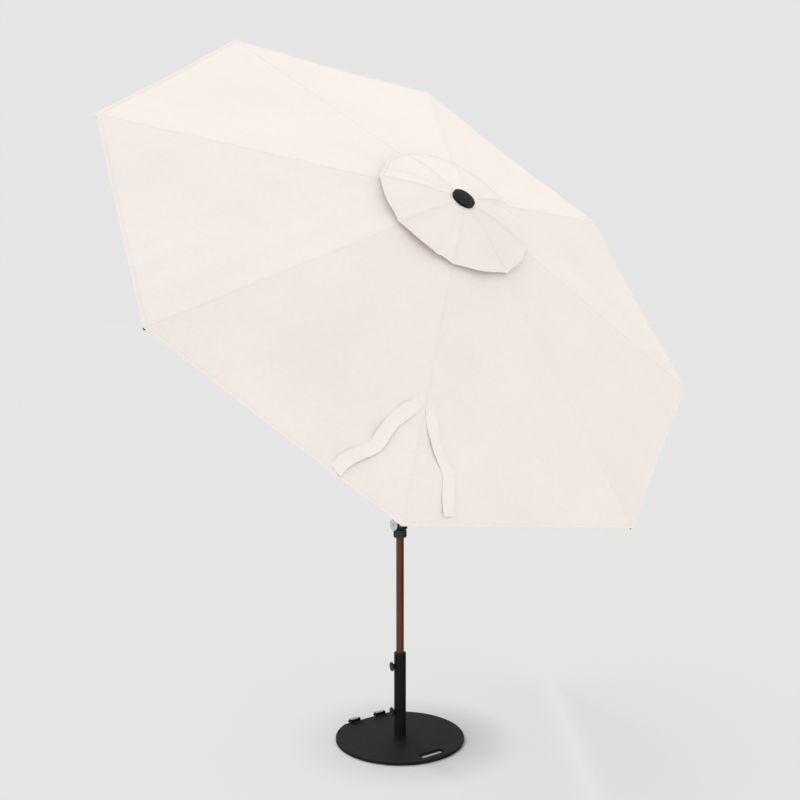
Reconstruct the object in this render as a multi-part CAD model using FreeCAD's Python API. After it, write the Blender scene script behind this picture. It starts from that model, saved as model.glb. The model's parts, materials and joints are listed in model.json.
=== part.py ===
# Crank-lift, collar-tilt patio umbrella standing in a steel plate base. Millimetres, +Z up.
# The origin is the base's centre on the floor. The canopy leans towards -Y.
import FreeCAD, Part
import math
import os
from FreeCAD import Placement, Rotation, Vector

# ------------------------------------------------------------------ driving dimensions
# base plate and feet
PLATE_RADIUS = 318.0
PLATE_THICKNESS = 12.0
PLATE_CHORD_Y = 284.0
FOOT_HEIGHT = 3.0
FOOT_RADIUS = 20.0
FOOT_RING_RADIUS = 280.0
FOOT_COUNT = 6
SLOT_LENGTH = 130.0
SLOT_WIDTH = 43.0
SLOT_CENTRE_Y = -257.0
SLOT_CORNER = 6.0
BASE_TURN_DEG = -4.0
# base tube, its cap and the two clamp knobs
TUBE_OD = 58.7
TUBE_WALL = 3.0
TUBE_TOP_Z = 432.0
WELD_SIZE = 6.0
CAP_LIP = 10.0
CAP_SLEEVE_LENGTH = 32.0
KNOB_HEIGHTS = (145.0, 375.0)
KNOB_HEAD_RADIUS = 22.0
KNOB_TURN_DEG = -11.7
KNOB_HEAD_THICKNESS = 7.0
KNOB_STEM_RADIUS = 9.0
KNOB_LOBES = 8
KNOB_LOBE_RADIUS = 3.0
STUD_RADIUS = 5.0
BOSS_RADIUS = 11.0
BOSS_LENGTH = 8.0
KNOB_STEM_LENGTH = 3.0
# transport rollers
ROLLER_RADIUS = 13.0
ROLLER_CENTRE_X = 78.0
ROLLER_CENTRE_Y = 300.0
ROLLER_CENTRE_Z = 16.5
AXLE_RADIUS = 3.0
BRACKET_LENGTH = 56.0
BRACKET_SHEET = 3.0
BRACKET_HEIGHT = 14.0
BRACKET_EYE = 6.5
BRACKET_WALL_Y = 276.0
BRACKET_FLANGE = 28.0
SCREW_RADIUS = 3.0
SCREW_HEAD_RADIUS = 6.0
SCREW_HEAD_HEIGHT = 2.5
# poles
POLE_OD = 38.1
POLE_WALL = 1.5
PLUG_FLANGE = 3.0
PLUG_LENGTH = 25.0
# tilt collar and crank housing
COLLAR_BOTTOM_Z = 1019.0
COLLAR_HEIGHT = 38.0
COLLAR_RADIUS = 32.5
COLLAR_RIBS = 24
COLLAR_RIB_RADIUS = 1.6
HOUSING_BOTTOM_Z = 1061.0
HOUSING_HEIGHT = 112.0
HOUSING_HALF_X = 27.0
HOUSING_HALF_Y = 29.0
HOUSING_WALL = 5.0
HOUSING_NECK = 10.0
HOUSING_CORNER = 9.0
COVER_THICKNESS = 3.0
COVER_MARGIN = 9.0
AXLE_HEIGHT = 24.0
SPOOL_AXLE_RADIUS = 5.0
SPOOL_DRUM_RADIUS = 7.5
SPOOL_FLANGE_RADIUS = 12.5
SPOOL_HALF_WIDTH = 9.0
SPOOL_FLANGE = 2.0
CRANK_STANDOFF = 9.0
CRANK_ARM_THICKNESS = 7.0
CRANK_ARM_WIDTH = 16.0
CRANK_ARM_LENGTH = 92.0
CRANK_HUB_RADIUS = 28.0
GRIP_RADIUS = 12.0
GRIP_LENGTH = 44.0
GRIP_PIN_RADIUS = 4.0
# tilt knuckle
PIVOT_Z = 2227.3
TILT_DEG = 48.12
KNUCKLE_RADIUS = 13.0
EAR_INNER_X = 12.5
EAR_THICKNESS = 6.0
CHEEK_THICKNESS = 6.0
FORK_SHOULDER_DEPTH = 36.0
TONGUE_SHOULDER_HEIGHT = 32.0
SHOULDER_THICKNESS = 7.0
KNUCKLE_PLUG_LENGTH = 35.0
TILT_PIN_RADIUS = 5.0
PIN_HEAD_RADIUS = 8.0
PIN_HEAD_THICKNESS = 2.5
# lift cord, its guides and the tilt rod
CORD_RADIUS = 1.5
CORD_OFFSET = 9.0
PULLEY_CORD_RADIUS = 8.0
PULLEY_WIDTH = 6.0
PULLEY_FLANGE = 1.0
PULLEY_HEIGHT = 505.0
PULLEY_AXLE_RADIUS = 1.5
ROD_RADIUS = 2.0
ROD_TO_BORE = 0.709
ROD_TURN_DEG = -32.6193
ROD_TRAVEL = 6.0
DOG_RADIUS = 2.0
DOG_Z = 1041.0
# canopy
CANOPY_RADIUS = 1563.5
CANOPY_RISE = 422.9
RIM_HEIGHT = 172.25
RIB_COUNT = 8
FIRST_RIB_DEG = 12.73
CANOPY_THICKNESS = 1.0
PANEL_TRIM_DEG = 0.62
VENT_RADIUS = 215.0
CAP_RADIUS = 383.0
CAP_EDGE_LIFT = 33.0
CAP_CENTRE_RADIUS = 60.0
CAP_HOLE_RADIUS = 7.0
FINIAL_RADIUS = 55.0
FINIAL_EDGE = 11.0
FINIAL_DOME = 5.0
FINIAL_STUD_RADIUS = 5.0
# ribs, stretchers, crown and runner
RIB_WIDTH = 11.5
RIB_DEPTH = 17.0
RIB_SHEET = 1.2
RIB_CORNER = 2.5
RIB_EYE_LENGTH = 16.0
RIB_PLUG_LENGTH = 24.0
TIP_LENGTH = 18.0
TIP_INSET = 4.0
STRETCHER_LENGTH = 700.0
STRETCHER_WIDTH = 9.6
STRETCHER_DEPTH = 12.0
STRETCHER_SHEET = 1.4
BRACKET_GAP = 1.5
CLIP_SHEET = 2.0
CLIP_HALF_LENGTH = 14.0
CLIP_TOP = 4.0
CLIP_BELOW_PIN = 8.0
PIN_RADIUS = 2.5
RIVET_RADIUS = 2.0
HUB_PIVOT_RADIUS = 38.0
HUB_RADIUS = 46.0
HUB_CORE_RADIUS = 26.0
HUB_DEPTH = 18.0
HUB_SKIRT = 34.0
HUB_PIN_HALF = 11.0
RUNNER_FLANGE_DEPTH = 20.0
RUNNER_SLEEVE_RADIUS = 29.0
RUNNER_SLEEVE_LENGTH = 56.0
# tie straps
STRAP_THICKNESS = 1.2
STRAP_RIB = 5
STRAP_LEFT = (
    (0.6400, -0.0020), (0.6785, -0.0456), (0.7224, -0.0807), (0.7795, -0.1069),
    (0.8148, -0.1208), (0.8538, -0.1647), (0.8768, -0.1855), (0.8997, -0.1983),
    (0.9252, -0.1698), (0.9001, -0.1574), (0.8740, -0.1346), (0.8395, -0.0948),
    (0.8123, -0.0792), (0.7646, -0.0618), (0.7276, -0.0365), (0.6810, -0.0020),
)
STRAP_RIGHT = (
    (0.6808, 0.0020), (0.7323, 0.0184), (0.7827, 0.0439), (0.8221, 0.0796),
    (0.8461, 0.0874), (0.8972, 0.0957), (0.9319, 0.1054), (0.9191, 0.1321),
    (0.8570, 0.1251), (0.8078, 0.1112), (0.7886, 0.0918), (0.7564, 0.0637),
    (0.7178, 0.0484), (0.6735, 0.0317), (0.6380, 0.0020),
)

# clearances
RUNNING = 0.06
SLIDING = 0.10
SEAT = 0.02
SLOT_SIDE = 0.5
SOFT_GAP = 0.3
RIB_TO_CANOPY = 1.0
OPEN_PIVOT = 0.5
STUD_GAP = 0.3

# ------------------------------------------------------------------ derived sizes
PLATE_TOP = FOOT_HEIGHT + PLATE_THICKNESS
POLE_R = POLE_OD / 2
POLE_BORE = POLE_R - POLE_WALL
TUBE_R = TUBE_OD / 2
TUBE_BORE = TUBE_R - TUBE_WALL
AXLE_Z = HOUSING_BOTTOM_Z + AXLE_HEIGHT
HOUSING_TOP_Z = HOUSING_BOTTOM_Z + HOUSING_HEIGHT
BACK = 180.0 / RIB_COUNT
ROD_REACH = POLE_BORE - ROD_RADIUS - ROD_TO_BORE
ROD_X = ROD_REACH * math.cos(math.radians(ROD_TURN_DEG))
ROD_Y = ROD_REACH * math.sin(math.radians(ROD_TURN_DEG))
SLOPE = math.atan2(CANOPY_RISE, CANOPY_RADIUS)
SLOPE_DEG = math.degrees(SLOPE)
X, Y, Z = Vector(1, 0, 0), Vector(0, 1, 0), Vector(0, 0, 1)


def canopy_height(radius):
    """Height of the canopy's top surface along a rib, above the tilt pivot."""
    return RIM_HEIGHT + CANOPY_RISE * (1 - radius / CANOPY_RADIUS)


RIB_TO_SURFACE = RIB_DEPTH / 2 + RIB_TO_CANOPY + CANOPY_THICKNESS
RIB_PIVOT_Z = canopy_height(HUB_PIVOT_RADIUS) - RIB_TO_SURFACE / math.cos(SLOPE)
BRACKET_DROP = RIB_DEPTH / 2 + STRETCHER_DEPTH / 2 + BRACKET_GAP
CLIP_BOTTOM = BRACKET_DROP + CLIP_BELOW_PIN
BRACKET_ALONG = math.sqrt(STRETCHER_LENGTH**2 - BRACKET_DROP**2)
STRETCHER_ANGLE = SLOPE + math.atan2(BRACKET_DROP, BRACKET_ALONG)
RUNNER_PIVOT_Z = RIB_PIVOT_Z - 2 * STRETCHER_LENGTH * math.sin(STRETCHER_ANGLE)
RIB_CORNER_ALONG = (CANOPY_RADIUS - HUB_PIVOT_RADIUS) * math.cos(SLOPE) + (
    RIB_PIVOT_Z - RIM_HEIGHT
) * math.sin(SLOPE)
RIB_END = RIB_CORNER_ALONG - TIP_INSET - TIP_LENGTH
HUB_TOP = RIB_PIVOT_Z + RIB_DEPTH / 2 - 0.5
HUB_BOTTOM = HUB_TOP - HUB_DEPTH
CAP_CENTRE_Z = HUB_TOP + 1.5 + CANOPY_THICKNESS
CAP_EDGE_Z = canopy_height(CAP_RADIUS) + CAP_EDGE_LIFT
RUNNER_TOP = RUNNER_PIVOT_Z + RUNNER_SLEEVE_LENGTH / 2
RUNNER_BOTTOM = RUNNER_TOP - RUNNER_SLEEVE_LENGTH
UPPER_POLE_FOOT = TONGUE_SHOULDER_HEIGHT + SHOULDER_THICKNESS
MID_POLE_TOP = PIVOT_Z - FORK_SHOULDER_DEPTH


# ------------------------------------------------------------------ helpers
def box(x0, x1, y0, y1, z0, z1):
    """Box between two corners."""
    return Part.makeBox(x1 - x0, y1 - y0, z1 - z0, Vector(x0, y0, z0))


def rod(radius, start, along, length):
    """Round bar from a point."""
    return Part.makeCylinder(radius, length, start, along)


def pipe(outer, inner, start, along, length):
    """Round tube from a point."""
    return rod(outer, start, along, length).cut(rod(inner, start, along, length))


def turned(profile):
    """Solid of revolution about Z from (radius, height) points."""
    points = [Vector(r, 0, z) for r, z in profile]
    face = Part.Face(Part.makePolygon(points + points[:1]))
    return face.revolve(Vector(), Z, 360)


def rounded_section(half_y, half_z, corner, start, length):
    """Bar along X with a rounded rectangular section."""
    y, z, c = half_y, half_z, corner
    k = c * (1 - math.sqrt(0.5))
    edges = []
    corners = [(1, 1), (-1, 1), (-1, -1), (1, -1)]
    ends = []
    for sy, sz in corners:
        a = Vector(start, sy * y, sz * (z - c))
        b = Vector(start, sy * (y - c), sz * z)
        mid = Vector(start, sy * (y - k), sz * (z - k))
        first, last = (a, b) if sy == sz else (b, a)
        edges.append(Part.Arc(first, mid, last).toShape())
        ends.append((first, last))
    for i in range(4):
        edges.append(Part.LineSegment(ends[i][1], ends[(i + 1) % 4][0]).toShape())
    wire = Part.Wire(Part.__sortEdges__(edges))
    return Part.Face(wire).extrude(X * length)


def stadium(radius, x0, x1, half_width):
    """Flat bar along X with round ends, its thickness along Y."""
    bar = box(x0, x1, -half_width, half_width, -radius, radius)
    for x in (x0, x1):
        bar = bar.fuse(rod(radius, Vector(x, -half_width, 0), Y, 2 * half_width))
    return bar.removeSplitter()


def shell_solid(top, depth):
    """Thin closed solid below a list of flat polygons that share edges."""
    down = Vector(0, 0, -depth)
    solid = None
    for polygon in top:
        face = Part.Face(Part.makePolygon(polygon + polygon[:1]))
        slab = face.extrude(down)
        solid = slab if solid is None else solid.fuse(slab)
    return solid.removeSplitter()


def tilted(shape):
    """Carry a shape from the upright frame at the pivot to its leaning place."""
    moved = shape.copy()
    lean = Placement(Vector(0, 0, PIVOT_Z), Rotation(X, TILT_DEG))
    moved.Placement = lean.multiply(moved.Placement)
    return moved


def at(shape, placement):
    """Copy of a shape carried by a placement."""
    moved = shape.copy()
    moved.Placement = placement.multiply(moved.Placement)
    return moved


def on_base(shape, extra=0.0):
    """Turn a shape of the base about the pole's axis to where the base stands."""
    return at(shape, Placement(Vector(), Rotation(Z, BASE_TURN_DEG + extra)))


def rib_azimuth(number):
    """Direction of a rib, in degrees about the upper pole."""
    return FIRST_RIB_DEG + 360.0 / RIB_COUNT * number


def about_pole(azimuth):
    """Turn about the upper pole."""
    return Placement(Vector(), Rotation(Z, azimuth))


def rib_frame(number):
    """Frame of a rib: origin at its crown pivot, X along it, Z out of the canopy."""
    slope = Placement(Vector(HUB_PIVOT_RADIUS, 0, RIB_PIVOT_Z), Rotation(Y, SLOPE_DEG))
    return about_pole(rib_azimuth(number)).multiply(slope)


def stretcher_frame(number):
    """Frame of a stretcher: origin at the runner's pivot, X up to the rib's bracket."""
    lift = Rotation(Y, -math.degrees(STRETCHER_ANGLE))
    start = Placement(Vector(HUB_PIVOT_RADIUS, 0, RUNNER_PIVOT_Z), lift)
    return about_pole(rib_azimuth(number)).multiply(start)


def gore_point(radius, off_deg):
    """Point on the canopy beside a rib lying along X: radius at the seam, angle off it."""
    reach = radius * math.cos(math.radians(BACK))
    reach /= math.cos(math.radians(BACK - abs(off_deg)))
    angle = math.radians(off_deg)
    return Vector(
        reach * math.cos(angle), reach * math.sin(angle), canopy_height(radius)
    )


# ------------------------------------------------------------------ base
def base_plate():
    plate = rod(PLATE_RADIUS, Vector(0, 0, FOOT_HEIGHT), Z, PLATE_THICKNESS)
    top_edge = [e for e in plate.Edges if abs(e.CenterOfMass.z - PLATE_TOP) < 0.01]
    plate = plate.makeFillet(min(2.0, PLATE_THICKNESS / 4), top_edge)
    reach = PLATE_RADIUS + 10
    plate = plate.cut(box(-reach, reach, PLATE_CHORD_Y, reach, 0, PLATE_TOP + 1))
    half = SLOT_LENGTH / 2
    slot = box(
        -half, half, SLOT_CENTRE_Y - SLOT_WIDTH / 2, SLOT_CENTRE_Y + SLOT_WIDTH / 2,
        0, PLATE_TOP + 1,
    )
    upright = [e for e in slot.Edges if e.BoundBox.ZLength > PLATE_THICKNESS]
    slot = slot.makeFillet(SLOT_CORNER, upright)
    plate = plate.cut(slot)
    for x, y in bracket_screw_places():
        plate = plate.cut(rod(SCREW_RADIUS + SEAT, Vector(x, y, 0), Z, PLATE_TOP + 1))
    return plate


def base_feet():
    pads = [rod(FOOT_RADIUS * 1.5, Vector(), Z, FOOT_HEIGHT)]
    for i in range(FOOT_COUNT):
        a = math.radians(i * 360.0 / FOOT_COUNT)
        centre = Vector(FOOT_RING_RADIUS * math.cos(a), FOOT_RING_RADIUS * math.sin(a), 0)
        pads.append(rod(FOOT_RADIUS, centre, Z, FOOT_HEIGHT))
    return Part.makeCompound(pads)


def base_tube():
    weld = turned([
        (TUBE_R - 1, PLATE_TOP), (TUBE_R + WELD_SIZE, PLATE_TOP),
        (TUBE_R, PLATE_TOP + WELD_SIZE), (TUBE_R - 1, PLATE_TOP + WELD_SIZE),
    ])
    tube = rod(TUBE_R, Vector(0, 0, PLATE_TOP), Z, TUBE_TOP_Z - PLATE_TOP).fuse(weld)
    for z in KNOB_HEIGHTS:
        tube = tube.fuse(rod(BOSS_RADIUS, Vector(0, 0, z), -X, TUBE_R + BOSS_LENGTH))
    tube = tube.cut(rod(TUBE_BORE, Vector(0, 0, PLATE_TOP), Z, TUBE_TOP_Z))
    for z in KNOB_HEIGHTS:
        hole = rod(STUD_RADIUS + RUNNING, Vector(0, 0, z), -X, TUBE_R + BOSS_LENGTH + 1)
        tube = tube.cut(hole)
    return tube.removeSplitter()


def tube_cap():
    lip = rod(TUBE_R, Vector(0, 0, TUBE_TOP_Z), Z, CAP_LIP)
    edge = [e for e in lip.Edges if e.CenterOfMass.z > TUBE_TOP_Z + CAP_LIP - 0.01]
    lip = lip.makeFillet(min(3.0, CAP_LIP / 3), edge)
    start = Vector(0, 0, TUBE_TOP_Z - CAP_SLEEVE_LENGTH)
    cap = lip.fuse(rod(TUBE_BORE - SEAT, start, Z, CAP_SLEEVE_LENGTH))
    return cap.cut(rod(POLE_R + RUNNING, start, Z, CAP_SLEEVE_LENGTH + CAP_LIP + 1))


def clamp_knob(height):
    start = TUBE_R + BOSS_LENGTH + SOFT_GAP
    head_start = start + KNOB_STEM_LENGTH
    axis = Vector(0, 0, height)
    head = rod(KNOB_HEAD_RADIUS, axis - X * head_start, -X, KNOB_HEAD_THICKNESS)
    head = head.makeFillet(KNOB_HEAD_THICKNESS / 6, [
        e for e in head.Edges if e.Length > 2 and e.Closed
    ])
    for i in range(KNOB_LOBES):
        a = 2 * math.pi * i / KNOB_LOBES
        reach = KNOB_HEAD_RADIUS + KNOB_LOBE_RADIUS / 2
        spot = axis + Vector(-head_start + 1, reach * math.cos(a), reach * math.sin(a))
        head = head.cut(rod(KNOB_LOBE_RADIUS, spot, -X, KNOB_HEAD_THICKNESS + 2))
    stem = rod(KNOB_STEM_RADIUS, axis - X * start, -X, KNOB_STEM_LENGTH + 1)
    tip = POLE_R + STUD_GAP
    stud = rod(STUD_RADIUS, axis - X * tip, -X, head_start - tip + 1)
    return head.fuse(stem).fuse(stud).removeSplitter()


# ------------------------------------------------------------------ rollers
def bracket_screw_places():
    places = []
    for side in (-1, 1):
        for off in (-BRACKET_LENGTH / 4, BRACKET_LENGTH / 4):
            y = BRACKET_WALL_Y - BRACKET_FLANGE / 2
            places.append((side * ROLLER_CENTRE_X + off, y))
    return places


def roller_brackets():
    solids = []
    for side in (-1, 1):
        x0 = side * ROLLER_CENTRE_X - BRACKET_LENGTH / 2
        x1 = x0 + BRACKET_LENGTH
        top = PLATE_TOP + BRACKET_HEIGHT
        sheet = BRACKET_SHEET
        part = box(
            x0, x1, BRACKET_WALL_Y - BRACKET_FLANGE, BRACKET_WALL_Y, PLATE_TOP,
            PLATE_TOP + sheet,
        )
        part = part.fuse(
            box(x0, x1, BRACKET_WALL_Y, BRACKET_WALL_Y + sheet, PLATE_TOP, top)
        )
        eye = BRACKET_EYE
        for x in (x0, x1 - sheet):
            ear = box(x, x + sheet, BRACKET_WALL_Y, ROLLER_CENTRE_Y, PLATE_TOP, top)
            ear = ear.fuse(box(
                x, x + sheet, PLATE_CHORD_Y + 3, ROLLER_CENTRE_Y,
                ROLLER_CENTRE_Z - eye, top,
            ))
            centre = Vector(x, ROLLER_CENTRE_Y, ROLLER_CENTRE_Z)
            part = part.fuse(ear).fuse(rod(eye, centre, X, sheet))
            nose = box(
                x - 1, x + sheet + 1, ROLLER_CENTRE_Y - eye, ROLLER_CENTRE_Y + eye,
                ROLLER_CENTRE_Z + eye, top + 1,
            )
            part = part.cut(nose)
        start = Vector(x0 - 1, ROLLER_CENTRE_Y, ROLLER_CENTRE_Z)
        part = part.cut(rod(AXLE_RADIUS + SEAT, start, X, BRACKET_LENGTH + 2))
        for sx, sy in bracket_screw_places():
            hole = rod(SCREW_RADIUS + SEAT, Vector(sx, sy, 0), Z, PLATE_TOP + sheet + 1)
            part = part.cut(hole)
        solids.append(part.removeSplitter())
    return Part.makeCompound(solids)


def roller_axles():
    pins = []
    for side in (-1, 1):
        x0 = side * ROLLER_CENTRE_X - BRACKET_LENGTH / 2 - 2
        start = Vector(x0, ROLLER_CENTRE_Y, ROLLER_CENTRE_Z)
        length = BRACKET_LENGTH + 4
        pin = rod(AXLE_RADIUS, start, X, length)
        head = AXLE_RADIUS + 2
        pin = pin.fuse(rod(head, start, X, 2 - SEAT))
        pin = pin.fuse(rod(head, start + X * (length - 2 + SEAT), X, 2 - SEAT))
        pins.append(pin.removeSplitter())
    return Part.makeCompound(pins)


def bracket_screws():
    screws = []
    top = PLATE_TOP + BRACKET_SHEET
    for x, y in bracket_screw_places():
        head = rod(SCREW_HEAD_RADIUS, Vector(x, y, top), Z, SCREW_HEAD_HEIGHT)
        edge = [e for e in head.Edges if e.CenterOfMass.z > top + SCREW_HEAD_HEIGHT - 0.01]
        head = head.makeFillet(SCREW_HEAD_HEIGHT / 2, edge)
        shank = rod(SCREW_RADIUS, Vector(x, y, FOOT_HEIGHT + 1), Z, top - FOOT_HEIGHT)
        screws.append(head.fuse(shank).removeSplitter())
    return Part.makeCompound(screws)


def roller(side):
    half = BRACKET_LENGTH / 2 - BRACKET_SHEET - 1.5
    start = Vector(side * ROLLER_CENTRE_X - half, ROLLER_CENTRE_Y, ROLLER_CENTRE_Z)
    wheel = rod(ROLLER_RADIUS, start, X, 2 * half)
    wheel = wheel.makeFillet(2.0, [e for e in wheel.Edges if e.Closed and e.Length > 9])
    return wheel.cut(rod(AXLE_RADIUS + RUNNING, start - X, X, 2 * half + 2))


# ------------------------------------------------------------------ lower pole group
def lower_pole():
    foot = PLATE_TOP + PLUG_FLANGE
    top = HOUSING_BOTTOM_Z + HOUSING_NECK
    tube = pipe(POLE_R, POLE_BORE, Vector(0, 0, foot), Z, top - foot)
    return tube.cut(dog_slot())


def dog_direction():
    reach = math.hypot(ROD_X, ROD_Y)
    return Vector(ROD_X / reach, ROD_Y / reach, 0)


def dog_slot():
    """Window in the lower pole for the rod's dog, with room for its travel."""
    half = DOG_RADIUS + 0.5
    window = box(
        POLE_BORE - 4, POLE_R + 4, -half, half,
        DOG_Z - half, DOG_Z + ROD_TRAVEL + half,
    )
    angle = math.degrees(math.atan2(ROD_Y, ROD_X))
    return at(window, about_pole(angle))


def pole_plug():
    plug = rod(POLE_R, Vector(0, 0, PLATE_TOP), Z, PLUG_FLANGE)
    top = Vector(0, 0, PLATE_TOP + PLUG_FLANGE)
    return plug.fuse(rod(POLE_BORE - SEAT, top, Z, PLUG_LENGTH)).removeSplitter()


def tilt_collar():
    start = Vector(0, 0, COLLAR_BOTTOM_Z)
    body = rod(COLLAR_RADIUS - COLLAR_RIB_RADIUS, start, Z, COLLAR_HEIGHT)
    body = body.makeFillet(3.0, [e for e in body.Edges if e.Closed])
    reach = COLLAR_RADIUS - COLLAR_RIB_RADIUS
    for i in range(COLLAR_RIBS):
        a = 2 * math.pi * i / COLLAR_RIBS
        foot = Vector(reach * math.cos(a), reach * math.sin(a), COLLAR_BOTTOM_Z + 5)
        body = body.fuse(rod(COLLAR_RIB_RADIUS, foot, Z, COLLAR_HEIGHT - 10))
    body = body.cut(rod(POLE_R + RUNNING, start - Z, Z, COLLAR_HEIGHT + 2))
    groove_z = DOG_Z - DOG_RADIUS - 2
    groove = rod(POLE_R + 4, Vector(0, 0, groove_z), Z, ROD_TRAVEL + 2 * DOG_RADIUS + 4)
    return body.cut(groove).removeSplitter()


def crank_housing():
    hx, hy = HOUSING_HALF_X, HOUSING_HALF_Y
    outer = box(-hx, hx, -hy, hy, HOUSING_BOTTOM_Z, HOUSING_TOP_Z)
    upright = [e for e in outer.Edges if e.BoundBox.ZLength > HOUSING_HEIGHT / 2]
    outer = outer.makeFillet(HOUSING_CORNER, upright)
    flat = [e for e in outer.Edges if e.BoundBox.ZLength < 0.01]
    outer = outer.makeFillet(2.5, flat)
    wall = HOUSING_WALL
    room = box(
        -hx + wall, hx - wall, -hy + wall, hy - wall,
        HOUSING_BOTTOM_Z + HOUSING_NECK, HOUSING_TOP_Z - HOUSING_NECK,
    )
    body = outer.cut(room)
    bore = rod(POLE_R + SEAT, Vector(0, 0, HOUSING_BOTTOM_Z - 1), Z, HOUSING_HEIGHT + 2)
    body = body.cut(bore)
    y, z0, z1 = cover_window()
    body = body.cut(box(hx - wall - 1, hx + 1, -y, y, z0, z1))
    lip = box(hx - COVER_THICKNESS, hx + 1, -y - 5, y + 5, z0 - 5, z1 + 5)
    body = body.cut(lip)
    left = Vector(-hx - 1, 0, AXLE_Z)
    body = body.cut(rod(SPOOL_AXLE_RADIUS + RUNNING, left, X, wall + 2))
    for sy, sz in cover_screw_places():
        hole = rod(1.5 + SEAT, Vector(hx - wall, sy, sz), X, wall)
        body = body.cut(hole)
    return body.removeSplitter()


def cover_window():
    """Half width and height range of the window that the cover closes."""
    z0 = HOUSING_BOTTOM_Z + HOUSING_NECK + COVER_MARGIN - 6
    z1 = HOUSING_TOP_Z - HOUSING_NECK - COVER_MARGIN
    return HOUSING_HALF_Y - HOUSING_WALL - COVER_MARGIN, z0, z1


def cover_screw_places():
    y, z0, z1 = cover_window()
    return [(sy * (y + 2.5), z) for sy in (-1, 1) for z in (z0 + 6, z1 - 6)]


def crank_cover():
    hx = HOUSING_HALF_X
    y, z0, z1 = cover_window()
    grow = 5 - SEAT
    plate = box(
        hx - COVER_THICKNESS, hx, -y - grow, y + grow, z0 - grow, z1 + grow
    )
    plate = plate.fuse(rod(9, Vector(hx - COVER_THICKNESS - 5, 0, AXLE_Z), X, 6))
    pocket = rod(SPOOL_AXLE_RADIUS + RUNNING, Vector(hx - 20, 0, AXLE_Z), X, 18)
    plate = plate.cut(pocket)
    for sy, sz in cover_screw_places():
        plate = plate.cut(rod(1.5 + SEAT, Vector(hx - HOUSING_WALL, sy, sz), X, 10))
    return plate.removeSplitter()


def cover_screws():
    screws = []
    for sy, sz in cover_screw_places():
        start = Vector(HOUSING_HALF_X - HOUSING_WALL, sy, sz)
        head = rod(2.2, Vector(HOUSING_HALF_X, sy, sz), X, 1.2)
        screws.append(rod(1.5, start, X, HOUSING_WALL + 0.6).fuse(head).removeSplitter())
    return Part.makeCompound(screws)


def crank_spool():
    half = SPOOL_HALF_WIDTH
    centre = Vector(0, 0, AXLE_Z)
    drum = rod(SPOOL_DRUM_RADIUS, centre - X * half, X, 2 * half)
    for x in (-half, half - SPOOL_FLANGE):
        drum = drum.fuse(rod(SPOOL_FLANGE_RADIUS, centre + X * x, X, SPOOL_FLANGE))
    bore = rod(SPOOL_AXLE_RADIUS + SEAT, centre - X * (half + 1), X, 2 * half + 2)
    return drum.cut(bore).removeSplitter()


def crank_axle():
    left = HOUSING_HALF_X + CRANK_STANDOFF + CRANK_ARM_THICKNESS
    right = HOUSING_HALF_X - COVER_THICKNESS - 1
    start = Vector(-left, 0, AXLE_Z)
    axle = rod(SPOOL_AXLE_RADIUS, start, X, left + right)
    sleeve = Vector(-HOUSING_HALF_X - CRANK_STANDOFF, 0, AXLE_Z)
    axle = axle.fuse(rod(SPOOL_AXLE_RADIUS + 3, sleeve, X, CRANK_STANDOFF - 0.5))
    axle = axle.fuse(rod(SPOOL_AXLE_RADIUS + 2, start - X * 2, X, 2))
    return axle.removeSplitter()


def crank_arm():
    x0 = -HOUSING_HALF_X - CRANK_STANDOFF - CRANK_ARM_THICKNESS
    thick = CRANK_ARM_THICKNESS
    end_z = AXLE_Z + CRANK_ARM_LENGTH
    half = CRANK_ARM_WIDTH / 2
    arm = box(x0, x0 + thick, -half, half, AXLE_Z, end_z)
    arm = arm.fuse(rod(CRANK_HUB_RADIUS, Vector(x0, 0, AXLE_Z), X, thick))
    arm = arm.fuse(rod(half, Vector(x0, 0, end_z), X, thick)).removeSplitter()
    arm = arm.makeFillet(1.5, [e for e in arm.Edges if e.BoundBox.XLength < 0.01])
    arm = arm.cut(rod(SPOOL_AXLE_RADIUS + SEAT, Vector(x0 - 1, 0, AXLE_Z), X, thick + 2))
    return arm.cut(rod(GRIP_PIN_RADIUS + SEAT, Vector(x0 - 1, 0, end_z), X, thick + 2))


def grip_pin():
    x0 = -HOUSING_HALF_X - CRANK_STANDOFF
    z = AXLE_Z + CRANK_ARM_LENGTH
    length = CRANK_ARM_THICKNESS + GRIP_LENGTH + 3
    pin = rod(GRIP_PIN_RADIUS, Vector(x0, 0, z), -X, length)
    cap = rod(GRIP_PIN_RADIUS + 3, Vector(x0 - length + 1.5, 0, z), -X, 1.5)
    return pin.fuse(cap).removeSplitter()


def crank_grip():
    x0 = -HOUSING_HALF_X - CRANK_STANDOFF - CRANK_ARM_THICKNESS - SOFT_GAP
    z = AXLE_Z + CRANK_ARM_LENGTH
    grip = rod(GRIP_RADIUS, Vector(x0, 0, z), -X, GRIP_LENGTH)
    grip = grip.makeFillet(4.0, [e for e in grip.Edges if e.Closed])
    return grip.cut(rod(GRIP_PIN_RADIUS + RUNNING, Vector(x0 + 1, 0, z), -X, GRIP_LENGTH + 2))


def mid_pole():
    foot = HOUSING_TOP_Z - HOUSING_NECK
    return pipe(POLE_R, POLE_BORE, Vector(0, 0, foot), Z, MID_POLE_TOP - foot)


# ------------------------------------------------------------------ tilt knuckle
def knuckle_lug(x0, thick, reach):
    """Round-nosed lug about the pivot, standing on a shoulder `reach` away along -Z."""
    lug = rod(KNUCKLE_RADIUS, Vector(x0, 0, 0), X, thick)
    return lug.fuse(
        box(x0, x0 + thick, -KNUCKLE_RADIUS, KNUCKLE_RADIUS, -reach, 0)
    )


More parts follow.
